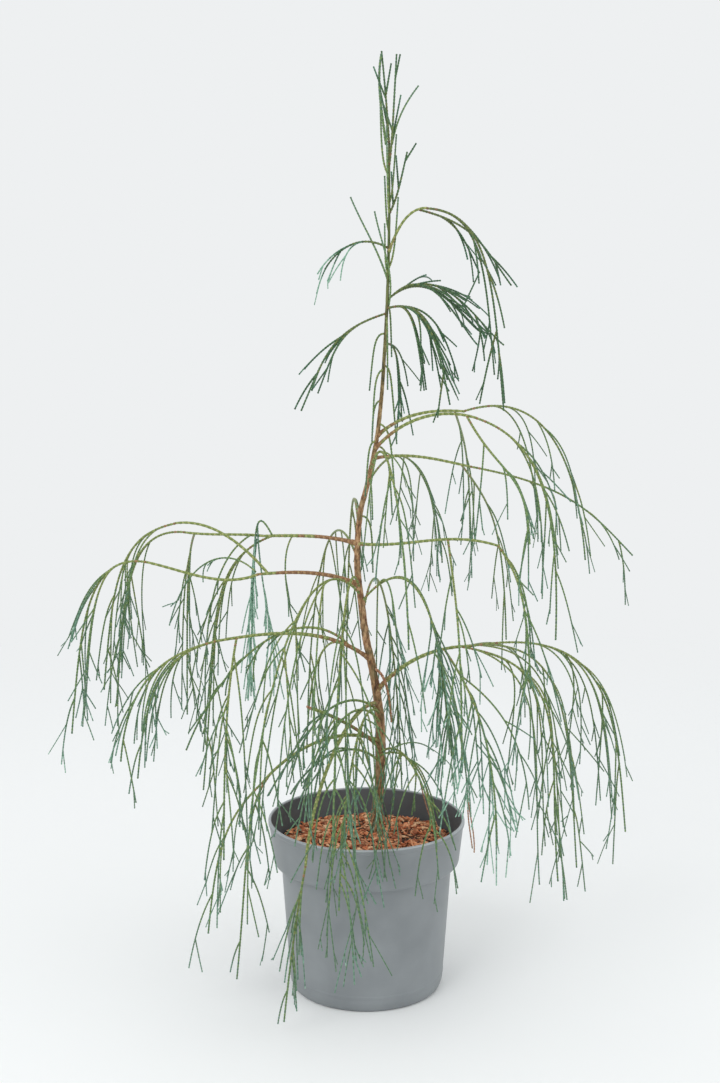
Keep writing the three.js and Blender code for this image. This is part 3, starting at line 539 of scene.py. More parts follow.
limbs = {"trunk": dict(zip(("points", "radii"), trunk_at(TRUNK_JOINTS)))}
bough_lengths = {"trunk": 0}
bough_batches, bough_ridges, bough_youths = [], [], []
around = np.arange(BOUGH_SIDES)[None, :] / BOUGH_SIDES
for name, foot, tip, (rise, fall), radii, wood in BOUGHS:
    parent = foot[0] if isinstance(foot, tuple) else "trunk"
    start, tip, radii = foot_of(foot, limbs), MM * np.array(tip, float), MM * np.array(radii, float)
    reach = BOUGH_HANDLES * np.linalg.norm(tip - start)
    first, second = [reach * leaving(start, tip, elevation) for elevation in (rise, fall)]
    controls = [start, start + first, tip - second, tip]
    limbs[name] = dict(
        points=bezier(controls, np.linspace(0, 1, BOUGH_STEPS + 1)),
        radii=np.linspace(*radii, BOUGH_STEPS + 1),
    )
    length = steps_of(bezier(controls, np.linspace(0, 1, 60))).sum()
    before = bough_lengths[parent]
    bough_lengths[name] = before + length
    along = np.linspace(0, length, int(length / BOUGH_PITCH))[:, None]
    mottles = soft_noise(around, along / MOTTLE_LENGTH, 3, seed=200 + len(limbs))
    young = np.clip((before + along - wood * MM) / GREENING + 0.5 + MOTTLE_SHARE * mottles, 0, 1)
    pair = np.floor(along / BOUGH_SCALE)
    leaves = 0.5 + 0.5 * np.cos(2 * np.pi * (2 * around + 0.5 * pair))
    ridge = (along / BOUGH_SCALE - pair) * leaves
    rough = soft_noise(around, along / ROUGH_LENGTH, 6, seed=100 + len(limbs))
    relief = GROOVE_LEVEL + (RIDGE_SHARE + YOUNG_RIDGE_SHARE * young) * ridge + ROUGH_SHARE * rough
    taper = radii[0] + (radii[1] - radii[0]) * along / length
    if parent == "trunk":
        taper = taper * (1 + COLLAR_SWELL * np.exp(-np.maximum(along - radii[0], 0) / COLLAR_LENGTH))
    closing = np.clip(1 - (length - along) / BOUGH_END_LENGTH, 0, 1)
    taper = taper + (np.minimum(BOUGH_END_RADIUS, radii[1]) - taper) * closing
    path, across = bezier(controls, along[:, 0] / length), np.cross([[0, 0, 1.0]], [tip - start])
    bough_batches.append((carried_rings(path[None], across, (taper * relief)[None], BOUGH_SIDES), 0))
    bough_ridges.append(ridge)
    bough_youths.append(young + 0 * ridge)
ring_piece(
    "bough_bark_relief", bough_batches, [scaly_bough("scale_ringed_bark")],
    [row[0] for row in BOUGHS], traits={"ridge": bough_ridges, "young": bough_youths},
)


# Arching shoots: the leading shoot of each spray springs from its bough or the trunk, bends over and
# hangs. Its small scale leaves are pressed flat in pairs, brown and olive on the older part.
MASSES = {  # name, foot as of the boughs, tip, rise, count of threads, their lengths, and what else differs
    "top": [
        ("top_tuft", 906, (15, 18, 999), 86, 3, (40, 62), dict(fall=84, erect=True)),
        ("top_right_tuft", 884, (30, 0, 994), 70, 3, (34, 58), dict(fall=82, erect=True)),
        ("upper_shoots", 835, (42, 30, 899), 60, 3, (30, 58), dict(fall=75, erect=True)),
        ("left_top_spray", 800, (-44, 30, 778), 30, 4, (34, 58), dict(fall=-60)),
        ("right_top_outer", ("right_top_bough", 1.5), (141, -30, 635), -3, 5, (50, 105), dict(stiff=150)),
        ("right_top_inner", ("right_top_bough", 9), (154, 50, 761), -12, 4, (35, 65),
         dict(fall=-50, stiff=150)),
        ("right_high_spray", 747, (147, 50, 698), 40, 7, (34, 70), dict(fall=-35, first=0.06, stiff=150)),
        ("right_high_steep", 738, (85, -40, 642), 15, 7, (30, 62), dict(fall=-75, first=0.06, stiff=150)),
        ("left_high_spray", 733, (-68, -20, 634), -15, 4, (34, 66), dict(fall=-65, stiff=150)),
        ("middle_wisp", 700, (38, 60, 620), 10, 4, (45, 80), {}),
    ],
    "right_upper": [
        ("right_upper_outer", ("right_upper_bough", 1.5), (243, 80, 459), 16, 6, (80, 140), {}),
        ("right_upper_hang", ("right_upper_bough", 11), (122, 190, 462), -25, 5, (70, 130), {}),
        ("right_arch_outer", ("right_arch_bough", 1.5), (192, -90, 407), -12, 6, (80, 150), dict(fall=-91)),
        ("right_arch_inner", ("right_arch_bough", 11), (154, -190, 523), -30, 5, (70, 140), {}),
        ("right_middle_outer", ("right_middle_bough", 1.5), (302, 120, 457), -12, 4, (60, 110),
         dict(fall=-45)),
        ("right_middle_hang", ("right_middle_bough", 11), (167, 200, 341), -30, 5, (80, 150), {}),
    ],
    "right_lower": [
        ("right_lower_outer", ("right_lower_bough", 1.5), (161, -150, 371), -14, 5, (80, 150), {}),
        ("right_lower_hang", ("right_lower_bough", 58), (91, -200, 314), -25, 6, (80, 150), {}),
        ("right_loop_front", 424, (88, -75, 280), 46, 12, (60, 125), dict(spring=0.95, first=0.5)),
        ("right_loop_back", 410, (44, 200, 142), 55, 10, (90, 170), dict(first=0.42)),
        ("front_upper_fall", 568, (40, -180, 418), 40, 5, (80, 150), {}),
        ("back_upper_fall", 552, (90, 200, 434), 35, 8, (80, 150), {}),
    ],
    "right_low": [
        ("right_low_outer", ("right_low_bough", 1.5), (286, 20, 165), 8, 6, (100, 175), dict(spring=0.75)),
        ("right_low_middle", ("right_low_bough", 10), (203, -60, 138), -2, 9, (90, 170), dict(spring=0.9)),
        ("right_low_far", ("right_low_bough", 20), (245, 110, 90), 0, 6, (80, 150), dict(spring=0.75)),
        ("right_low_inner", ("right_low_bough", 30), (127, -190, 225), -10, 10, (90, 165), dict(first=0.25)),
    ],
    "left_upper": [
        ("left_upper_outer", ("left_upper_arm", 1.5), (-283, 90, 289), 4, 6, (90, 150), {}),
        ("left_upper_third", ("left_upper_arm", 12), (-210, 160, 260), -25, 6, (90, 150), {}),
        ("left_upper_inner", ("left_upper_bough", 12), (-183, 60, 200), -20, 8, (90, 165), {}),
        ("back_left_fall", 472, (-70, 210, 246), 35, 9, (90, 165), {}),
        ("left_middle_outer", ("left_middle_arm", 1.5), (-308, -60, 300), 14, 7, (70, 118), {}),
        ("left_arch_outer", ("left_arch_bough", 1.5), (-284, 10, 329), -10, 6, (80, 140), {}),
    ],
    "left_low": [
        ("left_low_outer", ("left_low_bough", 1.5), (-249, -120, 288), -5, 6, (60, 112), {}),
        ("left_low_second", ("left_low_bough", 10), (-243, -40, 245), -12, 5, (60, 112), {}),
        ("left_low_front", ("left_low_bough", 24), (-142, -170, 202), -25, 8, (80, 160),
         dict(first=0.3, spread=0.7)),
        ("left_front_fall", 432, (-118, -190, 200), 38, 9, (100, 185), dict(first=0.4, spread=0.7)),
        ("front_middle_fall", 440, (-34, -180, 205), 35, 12, (90, 185), dict(first=0.42, spread=0.9)),
    ],
    "foot": [
        ("front_left_long", ("front_left_bough", 1.5), (-85, -140, 17), -80, 7, (50, 110), {}),
        ("left_foot_long", ("left_foot_bough", 1.5), (-166, -90, 92), -40, 4, (60, 130), {}),
        ("left_foot_hang", ("left_foot_bough", 9), (-139, -60, 28), -55, 4, (60, 130), dict(spread=0.7)),
        ("front_fall", 300, (-28, -172, 150), 28, 20, (80, 175), dict(first=0.2, spread=1.1)),
        ("right_foot_spray", 256, (71, -130, 198), 30, 8, (50, 120), dict(spread=0.9)),
        ("back_fall", 505, (-25, 220, 160), 40, 9, (90, 165), {}),
    ],
}
MASS_COLUMNS = ("name", "foot", "tip", "rise", "threads", "drop")
STEM_STEPS = 7
STEM_RADII = (1.35 * MM, 0.9 * MM)
STEM_LOOK_RADII = (1.2 * MM, 0.88 * MM)
STEM_FALL = -84
STEM_SPRING, STEM_SPRING_DROP = 0.55, 0.12
STEM_HANG_DROP, STEM_HANG = 0.6, 0.05
STEM_HUES = (2.0, 4.1)
STEM_PITCH = 3.4 * MM
PATH_POINTS = 33
SCALE_PITCH = 3.0 * MM
FEWEST_PAIRS = 3
LIP_PLACE = 0.86
END_SWELL = 0.5
SPARE_SIDE = [0.6, 0.8, 0.0]
HUE_SCATTER, HUE_STEP, HUE_PHASE = 0.25, 2.4, 40
SHOOT_COLOURS = {  # plain colours from old wood to the bloom of young tips: a darker and a lighter of each, which are painted shade and painted highlight, and the same two at the top of the plant, where the growth is darker
    # the same two at the top of the plant, where the growth is darker
    "rust": ["#906247", "#aa7e60", "#7f5941", "#9c7556"],
    "wood": ["#836644", "#95744f", "#6b5638", "#7b6442"],
    "olive": ["#6f7d41", "#869455", "#546233", "#68773f"],
    "leaf": ["#587546", "#6e8b54", "#3c5c38", "#4c6f45"],
    "green": ["#4f7052", "#608160", "#35573a", "#436847"],
    "blue": ["#597f6a", "#6e947c", "#406850", "#527f62"],
    "frost": ["#7fa993", "#97bda7", "#74a289", "#91b8a0"],
}


def waxy_scales(name, colour):
    """Living scale leaves: a plain green under a thin waxy bloom, which gives a soft wide gloss."""
    material, tree = new_finish(name)
    surface = {
        "Base Color": linear(colour), "Roughness": 0.52, "Specular IOR Level": 0.4, "Sheen Weight": 0.15,
        "Sheen Roughness": 0.4, "Sheen Tint": linear("#d6e6de"),
    }
    add_node(tree, "OutputMaterial", {"Surface": add_node(tree, "BsdfPrincipled", surface)})
    return material


def stem_controls(row, limbs):
    """Cubic of a mass's stem: it leaves at its rise, and comes to its tip at its fall. The first handle is
    shares of the reach in plan and of the drop, and so is the second."""
    start, tip = foot_of(row["foot"], limbs), MM * np.array(row["tip"], float)
    flat, drop = np.hypot(*(tip - start)[:2]), abs(tip[2] - start[2])
    spring = row.get("spring", STEM_SPRING) * flat + STEM_SPRING_DROP * drop
    first = start + leaving(start, tip, row["rise"]) * spring
    hang = STEM_HANG_DROP * drop + STEM_HANG * flat
    second = tip - leaving(start, tip, row.get("fall", STEM_FALL)) * hang
    return [start, first, second, tip]


def scaly_batches(shoots, sides, waist=0.8, lip=1.14):
    """Batches of shoots with scale leaves. A shoot of k pairs has a narrow waist at each pair's foot and
    its widest ring, the lip, at 0.86 of the pair, both times a radius that tapers evenly from root to tip.
    The hue number moves evenly from root to tip too, and every other pair takes the darker colour as
    painted shade, and the pairs between take the lighter one as painted highlight."""
    groups = {}
    for shoot in shoots:
        along = np.append(0, np.cumsum(steps_of(shoot["path"])))
        pairs = max(int(round(along[-1] / shoot.get("pitch", SCALE_PITCH))), FEWEST_PAIRS)
        groups.setdefault(pairs, []).append((shoot, along / along[-1]))
    batches = []
    for pairs, group in groups.items():
        marks = np.append(np.repeat(np.arange(pairs), 2) + np.tile([0, LIP_PLACE], pairs), pairs) / pairs
        paths = np.stack([
            np.stack([np.interp(marks, share, shoot["path"][:, k]) for k in range(3)], axis=-1)
            for shoot, share in group
        ])
        ends = np.array([shoot["radii"] for shoot, _ in group])
        swell = np.append(np.tile([waist, lip], pairs), END_SWELL)
        radii = (ends[:, :1] + (ends[:, 1:] - ends[:, :1]) * marks) * swell
        heading, rest = paths[:, 1] - paths[:, 0], paths[:, -1] - paths[:, -3]
        across = np.cross(heading, rest)
        straightest = 1e-3 * np.linalg.norm(heading, axis=1) * np.linalg.norm(rest, axis=1)
        bent = (np.linalg.norm(across, axis=1) > straightest)[:, None]
        across = np.where(bent, across, np.cross(heading, SPARE_SIDE))
        hues = np.array([shoot["hues"] for shoot, _ in group])
        band = np.arange(2 * pairs)
        hue = hues[:, :1] + (hues[:, 1:] - hues[:, :1]) * (band // 2 + 0.5) / pairs
        scatter = np.sin(band // 2 * HUE_STEP + HUE_PHASE * ends[:, :1] / MM) * HUE_SCATTER
        hue = np.clip(np.floor(hue + scatter), 0, len(SHOOT_COLOURS) - 1).astype(int)
        # painted shade and highlight: every other scale pair takes the darker copy of its colour
        light = (band // 2 + band % 2) % 2
        batches.append((carried_rings(paths, across, radii[..., None], sides), 2 * hue + light))
    return batches


foliage_looks, leader_looks = [
    [
        waxy_scales(f"{hue}_{kind}_{number}", colour)
        for hue, colours in SHOOT_COLOURS.items()
        for number, colour in enumerate(colours[first : first + 2])
    ]
    for kind, first in (("scale_leaves", 0), ("leader_scales", 2))
]
masses = {
    region: [dict(zip(MASS_COLUMNS, row), **row[-1]) for row in table]
    for region, table in MASSES.items()
}
rows = [row for group in masses.values() for row in group]
names_of = {region: [row["name"] for row in group] for region, group in masses.items()}
top_names = names_of["top"]
stems = {}
for row in rows:
    controls = stem_controls(row, limbs)
    stems[row["name"]] = dict(
        controls=controls,
        points=bezier(controls, np.linspace(0, 1, STEM_STEPS + 1)),
        radii=np.linspace(*STEM_RADII, STEM_STEPS + 1),
        path=bezier(controls, np.linspace(0, 1, 2 * PATH_POINTS)),
    )
for kind, names, looks in (
    ("leader", top_names, leader_looks),
    ("arching", [name for name in stems if name not in top_names], foliage_looks),
):
    stem_shoots = [
        dict(path=stems[name]["path"], radii=STEM_LOOK_RADII, pitch=STEM_PITCH, hues=STEM_HUES)
        for name in names
    ]
    batches = scaly_batches(stem_shoots, sides=7, waist=0.84, lip=1.22)
    ring_piece(f"{kind}_shoots", batches, looks, names)


# Hanging threads: long soft branchlets that leave the arching shoots at a slant and fall by their own
# weight. They are green and glaucous, about 1.8 mm thick, and end in a blunt tip.
TWIG_CLEARANCE = 0.4 * MM
WALL_CLEARANCE = 1.5 * MM
FLOOR_CLEARANCE = 9 * MM
POT_HEIGHT, RIM_RADIUS, BAND_BOTTOM, BAND_RADIUS = 189 * MM, 107 * MM, 142 * MM, 101 * MM
BODY_TOP_RADIUS, POT_WALL, BARK_HEIGHT = 93 * MM, 2.2 * MM, 165 * MM
THREAD_STEPS = 12
THREAD_RINGS = [0, 1, 3, 6, 12]
THREAD_RADII = MM * np.array([0.5, 1.2, 1.2, 1.1, 0.9])
GOLDEN_ANGLE, ANGLE_SWAY = 2.399963, 2.2
NUDGE = 0.0001
FIRST_THREAD, LAST_THREAD = 0.14, 0.92
SIDE_LEAN, HANG_LEAN, LEAST_LEAN, OUTWARD_LEAN = 0.42, 0.13, 0.4, 0.03
SOFT, STIFF, ERECT_STIFFNESS = 14 * MM, 58 * MM, 400 * MM
SHORTER_AT_TIP = 0.3
ROOT_LENGTH = 7 * MM
PARALLEL = 1e-21
TRIES, FILLING_TRIES = 14, 4
CROWN_LEFT, CROWN_RIGHT, CROWN_TOP = -343 * MM, 303 * MM, 999 * MM
FILLING = dict(  # finer threads that the solids leave to the scene, where the spray is dense
    right_loop_front=12, right_loop_back=8, front_upper_fall=3, right_low_inner=3, right_low_outer=2,
    left_front_fall=2, front_middle_fall=1, left_low_front=2, front_fall=1, right_high_steep=2,
    right_foot_spray=2, front_left_long=3, right_high_spray=3,
)
FILLING_MARGIN = 8 * MM
SPRAY_TONES = dict(  # hue shift of whole sprays: bluer and paler above 0, greener below
    right_loop_front=1.7, right_loop_back=1.3, left_top_spray=2.6, right_upper_hang=0.7, right_low_inner=1.2,
    left_front_fall=0.3, front_middle_fall=0.2, front_fall=-0.1, left_low_front=0.5, left_low_outer=0.4,
    left_low_second=0.4, left_arch_outer=0.3, left_middle_outer=0.3, left_foot_long=0.5,
    left_foot_hang=0.5, left_upper_inner=0.3,
)
SPRAY_TONE_DRAWS, THREAD_TONE_DRAWS = (-0.6, 0.5), (-0.7, 0.7)
THREAD_ROOT_DRAWS, THREAD_TIP_DRAWS = (0.86, 1.0), (0.7, 0.8)
STOUTNESS = {**dict.fromkeys(top_names, 1.22), "left_top_spray": 1.0}
PRIME = 2147483647


def seeded(seed):
    """Repeatable draws between 0 and 1: each state is the last one times 48271, modulo 2^31 - 1."""
    state = (seed * 7919 + 17) % PRIME

    def draw():
        nonlocal state
        state = state * 48271 % PRIME
        return state / PRIME

    draw()
    draw()
    return draw


def sideways_at(angle):
    """Level unit vector at an angle."""
    return np.array([np.cos(angle), np.sin(angle), 0.0])


def hanging_path(start, heading, rest, stiffness, marks):
    """Line of a thread through marks along its length: its direction goes from its heading to its rest as
    exp(-distance / stiffness), and its points are the running sum of the steps along it."""
    middle = (marks[1:] + marks[:-1]) / 2
    along = unit(rest + (heading - rest) * np.exp(-middle / stiffness)[:, None])
    steps = np.concatenate([np.zeros((1, 3)), along * np.diff(marks)[:, None]])
    return start + np.cumsum(steps, axis=0)


def thread_rule(row, number, attempt, seed_number):
    """Start, heading, rest direction, stiffness and length of one thread, from seeded draws. Threads past
    the row's own count fill in between them by the same rule."""
    draw = seeded(seed_number * 1000 + number * 31 + attempt)
    controls = stems[row["name"]]["controls"]
    share = (number + draw()) / row["threads"]
    nearest = row.get("first", FIRST_THREAD)
    place = nearest + (LAST_THREAD - nearest) * (share if share <= 1 else share % 1)
    side = sideways_at(GOLDEN_ANGLE * number + ANGLE_SWAY * draw() + attempt)
    start, ahead = bezier(controls, place), bezier(controls, place + NUDGE)
    heading = unit(unit(ahead - bezier(controls, place - NUDGE)) + row.get("spread", SIDE_LEAN) * side)
    short, long = row["drop"]
    length = MM * (short + (long - short) * draw()) * (1 - SHORTER_AT_TIP * place)
    lean = HANG_LEAN * (LEAST_LEAN + draw())
    upright = "erect" in row
    first, last = controls[0], controls[-1]
    outward = unit(np.array([last[0] - first[0], last[1] - first[1], 0.0]))
    rest = unit(np.array([0, 0, 1.0 if upright else -1.0]) + lean * side + OUTWARD_LEAN * outward)
    stiffest = row["stiff"] * MM if "stiff" in row else STIFF
    stiffness = ERECT_STIFFNESS if upright else SOFT + (stiffest - SOFT) * draw()
    return start, heading, rest, stiffness, length


def clear_of_pot(points):
    """Whether each line hangs outside the pot above the floor, or inside it above the bark."""
    radius, height = np.hypot(points[..., 0], points[..., 1]), points[..., 2]
    high = height >= POT_HEIGHT + WALL_CLEARANCE
    inside = (radius < BAND_RADIUS - POT_WALL - 2 * WALL_CLEARANCE) & (height > BARK_HEIGHT + WALL_CLEARANCE)
    wall = np.where(height > BAND_BOTTOM - 2 * WALL_CLEARANCE, RIM_RADIUS, BODY_TOP_RADIUS)
    outside = (radius > wall + 2 * WALL_CLEARANCE) & (height > FLOOR_CLEARANCE)
    return np.all(high | inside, axis=-1) | np.all(high | outside, axis=-1)


def straight_pieces(points, radii):
    """Rows of both ends and the radius of each straight piece of a line."""
    return np.hstack([points[:-1], points[1:], np.maximum(radii[:-1], radii[1:])[:, None]])


def apart(pieces, others):
    """Whether straight pieces stay clear of all others: the least distance between two segments, from
    the nearest points of their lines held to their ends, is more than both radii and the clearance."""
    for piece in pieces if len(others) else ():
        u, v = piece[3:6] - piece[:3], others[:, 3:6] - others[:, :3]
        w = piece[:3] - others[:, :3]
        uu, uv, vv, uw, vw = u @ u, v @ u, np.sum(v * v, 1), w @ u, np.sum(v * w, 1)
        spread = uu * vv - uv * uv
        s = np.clip((uv * vw - vv * uw) / np.where(spread > PARALLEL, spread, 1), 0, 1)
        s = np.where(spread > PARALLEL, s, 0)
        t = (uv * s + vw) / vv
        held = np.clip(t, 0, 1)
        s = np.where(t == held, s, np.clip((uv * held - uw) / uu, 0, 1))
        gap = np.linalg.norm(w + s[:, None] * u - held[:, None] * v, axis=1)
        if not np.all(gap > piece[6] + others[:, 6] + TWIG_CLEARANCE):
            return False
    return True


def tries_at(row, seed_number, number, tries):
    """Tries at one thread: what the rule gives, its line, its straight pieces, and those past its root."""
    for attempt in range(tries):
        thread = thread_rule(row, number, attempt, seed_number)
        path = hanging_path(*thread[:4], np.linspace(0, thread[4], THREAD_STEPS + 1))
        own = straight_pieces(path[THREAD_RINGS], THREAD_RADII)
        yield thread, path, own, own[np.linalg.norm(own[:, :3] - path[0], axis=1) > ROOT_LENGTH]


def spray_box(name, margin):
    """Low and high corner of a mass's box with a margin round it."""
    low, high = np.array(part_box(name))
    return low - margin, high + margin


everything = {**limbs, **stems}
taken = np.vstack([straight_pieces(limb["points"], limb["radii"]) for limb in everything.values()])
owners = np.concatenate([[name] * (len(limb["points"]) - 1) for name, limb in everything.items()])
solid_limbs = np.vstack([straight_pieces(limb["points"], limb["radii"]) for limb in limbs.values()])
threads = {name: [] for name in stems}
for seed_number, row in enumerate(rows, start=1):
    name = row["name"]
    others, kin = taken[owners != name], taken[owners == name]
    for number in range(row["threads"]):
        for thread, path, own, beyond in tries_at(row, seed_number, number, TRIES):
            in_crown = np.all(
                (path[:, 0] > CROWN_LEFT) & (path[:, 0] < CROWN_RIGHT) & (path[:, 2] < CROWN_TOP)
            )
            if in_crown and clear_of_pot(path) and apart(own, others) and apart(beyond, kin):
                threads[name].append(thread)
                kin, taken = np.vstack([kin, own]), np.vstack([taken, own])
                owners = np.append(owners, [name] * len(own))
                break
for seed_number, row in enumerate(rows, start=1):
    low, high = spray_box(row["name"], FILLING_MARGIN)
    for number in range(row["threads"], row["threads"] + FILLING.get(row["name"], 0)):
        for thread, path, own, beyond in tries_at(row, seed_number, number, FILLING_TRIES):
            if np.all((path > low) & (path < high)) and clear_of_pot(path) and apart(beyond, solid_limbs):
                threads[row["name"]].append(thread)
                break

tones = np.random.default_rng(31)
thread_shoots = {name: [] for name in threads}
for name, found in threads.items():
    spray_tone = tones.uniform(*SPRAY_TONE_DRAWS) + SPRAY_TONES.get(name, 0)
    for start, heading, rest, stiffness, length in found:
        tone = spray_tone + tones.uniform(*THREAD_TONE_DRAWS)
        stout = STOUTNESS.get(name, 1) * MM
        thread_shoots[name].append(dict(
            path=hanging_path(start, heading, rest, stiffness, np.linspace(0, length, PATH_POINTS)),
            radii=stout * np.array([tones.uniform(*THREAD_ROOT_DRAWS), tones.uniform(*THREAD_TIP_DRAWS)]),
            hues=(2.9 + 0.6 * tone, 4.9 + tone), rest=rest, length=length,
        ))
for region, names in names_of.items():
    shoots = [shoot for name in names for shoot in thread_shoots[name]]
    looks = leader_looks if region == "top" else foliage_looks
    ring_piece(f"hanging_threads_{region}", scaly_batches(shoots, 5), looks, names)


# Forked ends: side branchlets that leave the threads at a slim angle and run on nearly beside them,
# and the short twigs at their tips. They are the youngest growth, thinner and bluer.
FORKING = dict(  # length of thread to each fork, lengths, angles, lean to a side, and place of the first
    spacing=50, lengths=(16, 52), angles=(9, 31), lean=(0.1, 0.65), stiffness=(50, 180), first=0.36,
)
FORKING_OF = dict(  # where a region or a single spray forks otherwise
    top=dict(spacing=46), right_upper=dict(spacing=62), right_lower=dict(spacing=42),
    right_low=dict(spacing=60, lengths=(20, 80), angles=(12, 38)), left_upper=dict(spacing=48),
    left_low=dict(spacing=60), foot=dict(spacing=56, lengths=(18, 70), first=0.5),
    right_top_outer=dict(spacing=90, lengths=(24, 60)), right_top_inner=dict(spacing=80, lengths=(20, 50)),
    front_fall=dict(spacing=46, lengths=(22, 78), angles=(8, 34), first=0.55),
    front_middle_fall=dict(spacing=66, lengths=(20, 72), first=0.55), right_low_inner=dict(spacing=44),
    left_front_fall=dict(spacing=70, lengths=(20, 66), first=0.5), back_left_fall=dict(spacing=80),
    back_fall=dict(spacing=80),
)
TWIG_FORKING = dict(spacing=75, lengths=(8, 22))
LAST_FORK = 0.94
FORK_POINTS = 13
FORK_SWAY = 0.8
FORK_RADII = (0.9, 0.88)
FORK_MARGIN = 14 * MM
FORK_HUE_DRAWS = (-0.2, 0.4)


def forks_of(shoots, draws, habit, low, high):
    """Side shoots of shoots by a habit: at seeded shares of the parent's length, each turns out from the
    parent's direction by a slim angle towards a side that swaps from fork to fork, and droops slowly from
    that heading. Forks that leave the spray's box, or come near the pot or a limb, are skipped."""
    found = []
    shortest, longest = habit["lengths"]
    for shoot in shoots:
        path, (root, tip), hues = shoot["path"], shoot["radii"], shoot["hues"]
        count = max(int(round(shoot["length"] / MM / habit["spacing"] + draws.uniform(-0.5, 0.5))), 0)
        bearing = draws.uniform(0, 2 * np.pi)
        for number in range(count):
            share = habit["first"] + (LAST_FORK - habit["first"]) * (number + draws.uniform(0, 1)) / count
            index = share * (len(path) - 1)
            i = min(int(index), len(path) - 2)
            start = path[i] + (path[i + 1] - path[i]) * (index - i)
            along = unit(path[i + 1] - path[i])
            side = sideways_at(bearing + np.pi * (number % 2) + draws.uniform(-FORK_SWAY, FORK_SWAY))
            side = unit(side - (side @ along) * along)
            heading = unit(along + side * np.tan(np.radians(draws.uniform(*habit["angles"]))))
            rest = unit(shoot["rest"] + draws.uniform(*habit["lean"]) * side)
            reach = MM * (shortest + (longest - shortest) * draws.uniform(0, 1))
            reach *= 1 - SHORTER_AT_TIP * share
            stiffness = MM * draws.uniform(*habit["stiffness"])
            points = hanging_path(start, heading, rest, stiffness, np.linspace(0, reach, FORK_POINTS))
            if np.all((points > low) & (points < high)) and clear_of_pot(points):
                centre, radius = trunk_at(points[:, 2])
                if np.all(np.linalg.norm(points - centre, axis=1) > radius + MM):
                    here, hue = root + (tip - root) * share, hues[0] + (hues[1] - hues[0]) * share
                    found.append(dict(
                        path=points, radii=(FORK_RADII[0] * here, FORK_RADII[1] * tip),
                        hues=(hue, hues[1] + draws.uniform(*FORK_HUE_DRAWS)), rest=rest, length=reach,
                    ))
    return found


fork_habits = {}
for region, names in names_of.items():
    for name in names:
        fork_habits[name] = {**FORKING, **FORKING_OF[region], **FORKING_OF.get(name, {})}
    shoots = []
    for number, row in enumerate(masses[region]):
        if "erect" in row:
            continue
        name = row["name"]
        box = spray_box(name, FORK_MARGIN)
        fork_draws = np.random.default_rng((47, len(fork_habits), number))
        forks = forks_of(thread_shoots[name], fork_draws, fork_habits[name], *box)
        twig_habit = {**fork_habits[name], **TWIG_FORKING, "first": FORKING["first"]}
        shoots += forks + forks_of(forks, fork_draws, twig_habit, *box)
    looks = leader_looks if region == "top" else foliage_looks
    ring_piece(f"forked_ends_{region}", scaly_batches(shoots, 4), looks, names)


# Companion shoots: a strong spray has several arching shoots, which leave near the foot of the leading one
# and fall beside it, some shorter and each turned a little to one side.
COMPANIONS = dict(
    right_top_outer=1, right_top_inner=1, right_high_spray=4, right_high_steep=5, left_high_spray=1,
    right_low_outer=3, right_low_middle=3, right_low_far=2, right_low_inner=1, right_upper_outer=1,
    right_arch_outer=1, right_lower_outer=1, right_loop_front=2, right_loop_back=1, left_upper_outer=1,
    left_upper_third=1, left_upper_inner=1, left_middle_outer=2, left_arch_outer=2, left_low_outer=2,
    left_low_second=2, left_low_front=1, left_front_fall=3,
)
COMPANION_PLACES = (0.03, 0.3)
COMPANION_TURN, TURN_SHARES = 26, (0.3, 1)
COMPANION_TONE_DRAWS, SPRAY_TONE_SHARE = (-0.4, 0.4), 0.6
COMPANION_WIDTHS, COMPANION_DROPS = (0.6, 0.95), (0.75, 1.0)
COMPANION_RADII = (1.05, 0.75)
DOWN = np.array([0, 0, -1.0])


def beside(controls, place, turn, wide, tall):
    """The rest of a stem's curve from a place on it, drawn again from there: turned about the vertical by
    an angle in degrees, and scaled in plan and in height."""
    line = bezier(controls, np.linspace(place, 1, 2 * PATH_POINTS))
    x, y, z = (line - line[0]).T
    cosine, sine = np.cos(np.radians(turn)), np.sin(np.radians(turn))
    moved = [wide * (cosine * x - sine * y), wide * (sine * x + cosine * y), tall * z]
    return line[0] + np.stack(moved, axis=-1)


companion_draws = np.random.default_rng(83)
crown = np.array(solid_low), np.array(solid_high)
companions = {name: [] for name in COMPANIONS}
for name, count in COMPANIONS.items():
    stout = STOUTNESS.get(name, 1)
    for number in range(count):
        turn = COMPANION_TURN * companion_draws.uniform(*TURN_SHARES) * (-1) ** number
        path = beside(stems[name]["controls"], companion_draws.uniform(*COMPANION_PLACES), turn, *[
            companion_draws.uniform(*scales) for scales in (COMPANION_WIDTHS, COMPANION_DROPS)
        ])
        tone = companion_draws.uniform(*COMPANION_TONE_DRAWS) + SPRAY_TONE_SHARE * SPRAY_TONES.get(name, 0)
        if clear_of_pot(path) and np.all((path > crown[0]) & (path < crown[1])):
            shoot = dict(
                path=path, radii=[radius * stout * MM for radius in COMPANION_RADII],
                hues=(2.3 + 0.5 * tone, 4.8 + tone), rest=DOWN, length=steps_of(path).sum(),
            )
            companions[name] += [shoot, *forks_of([shoot], companion_draws, fork_habits[name], *crown)]
for kind, names, looks in (
    ("leader", [name for name in COMPANIONS if name in top_names], leader_looks),
    ("arching", [name for name in COMPANIONS if name not in top_names], foliage_looks),
):
    shoots = [shoot for name in names for shoot in companions[name]]
    ring_piece(f"{kind}_companions", scaly_batches(shoots, 5), looks, names)


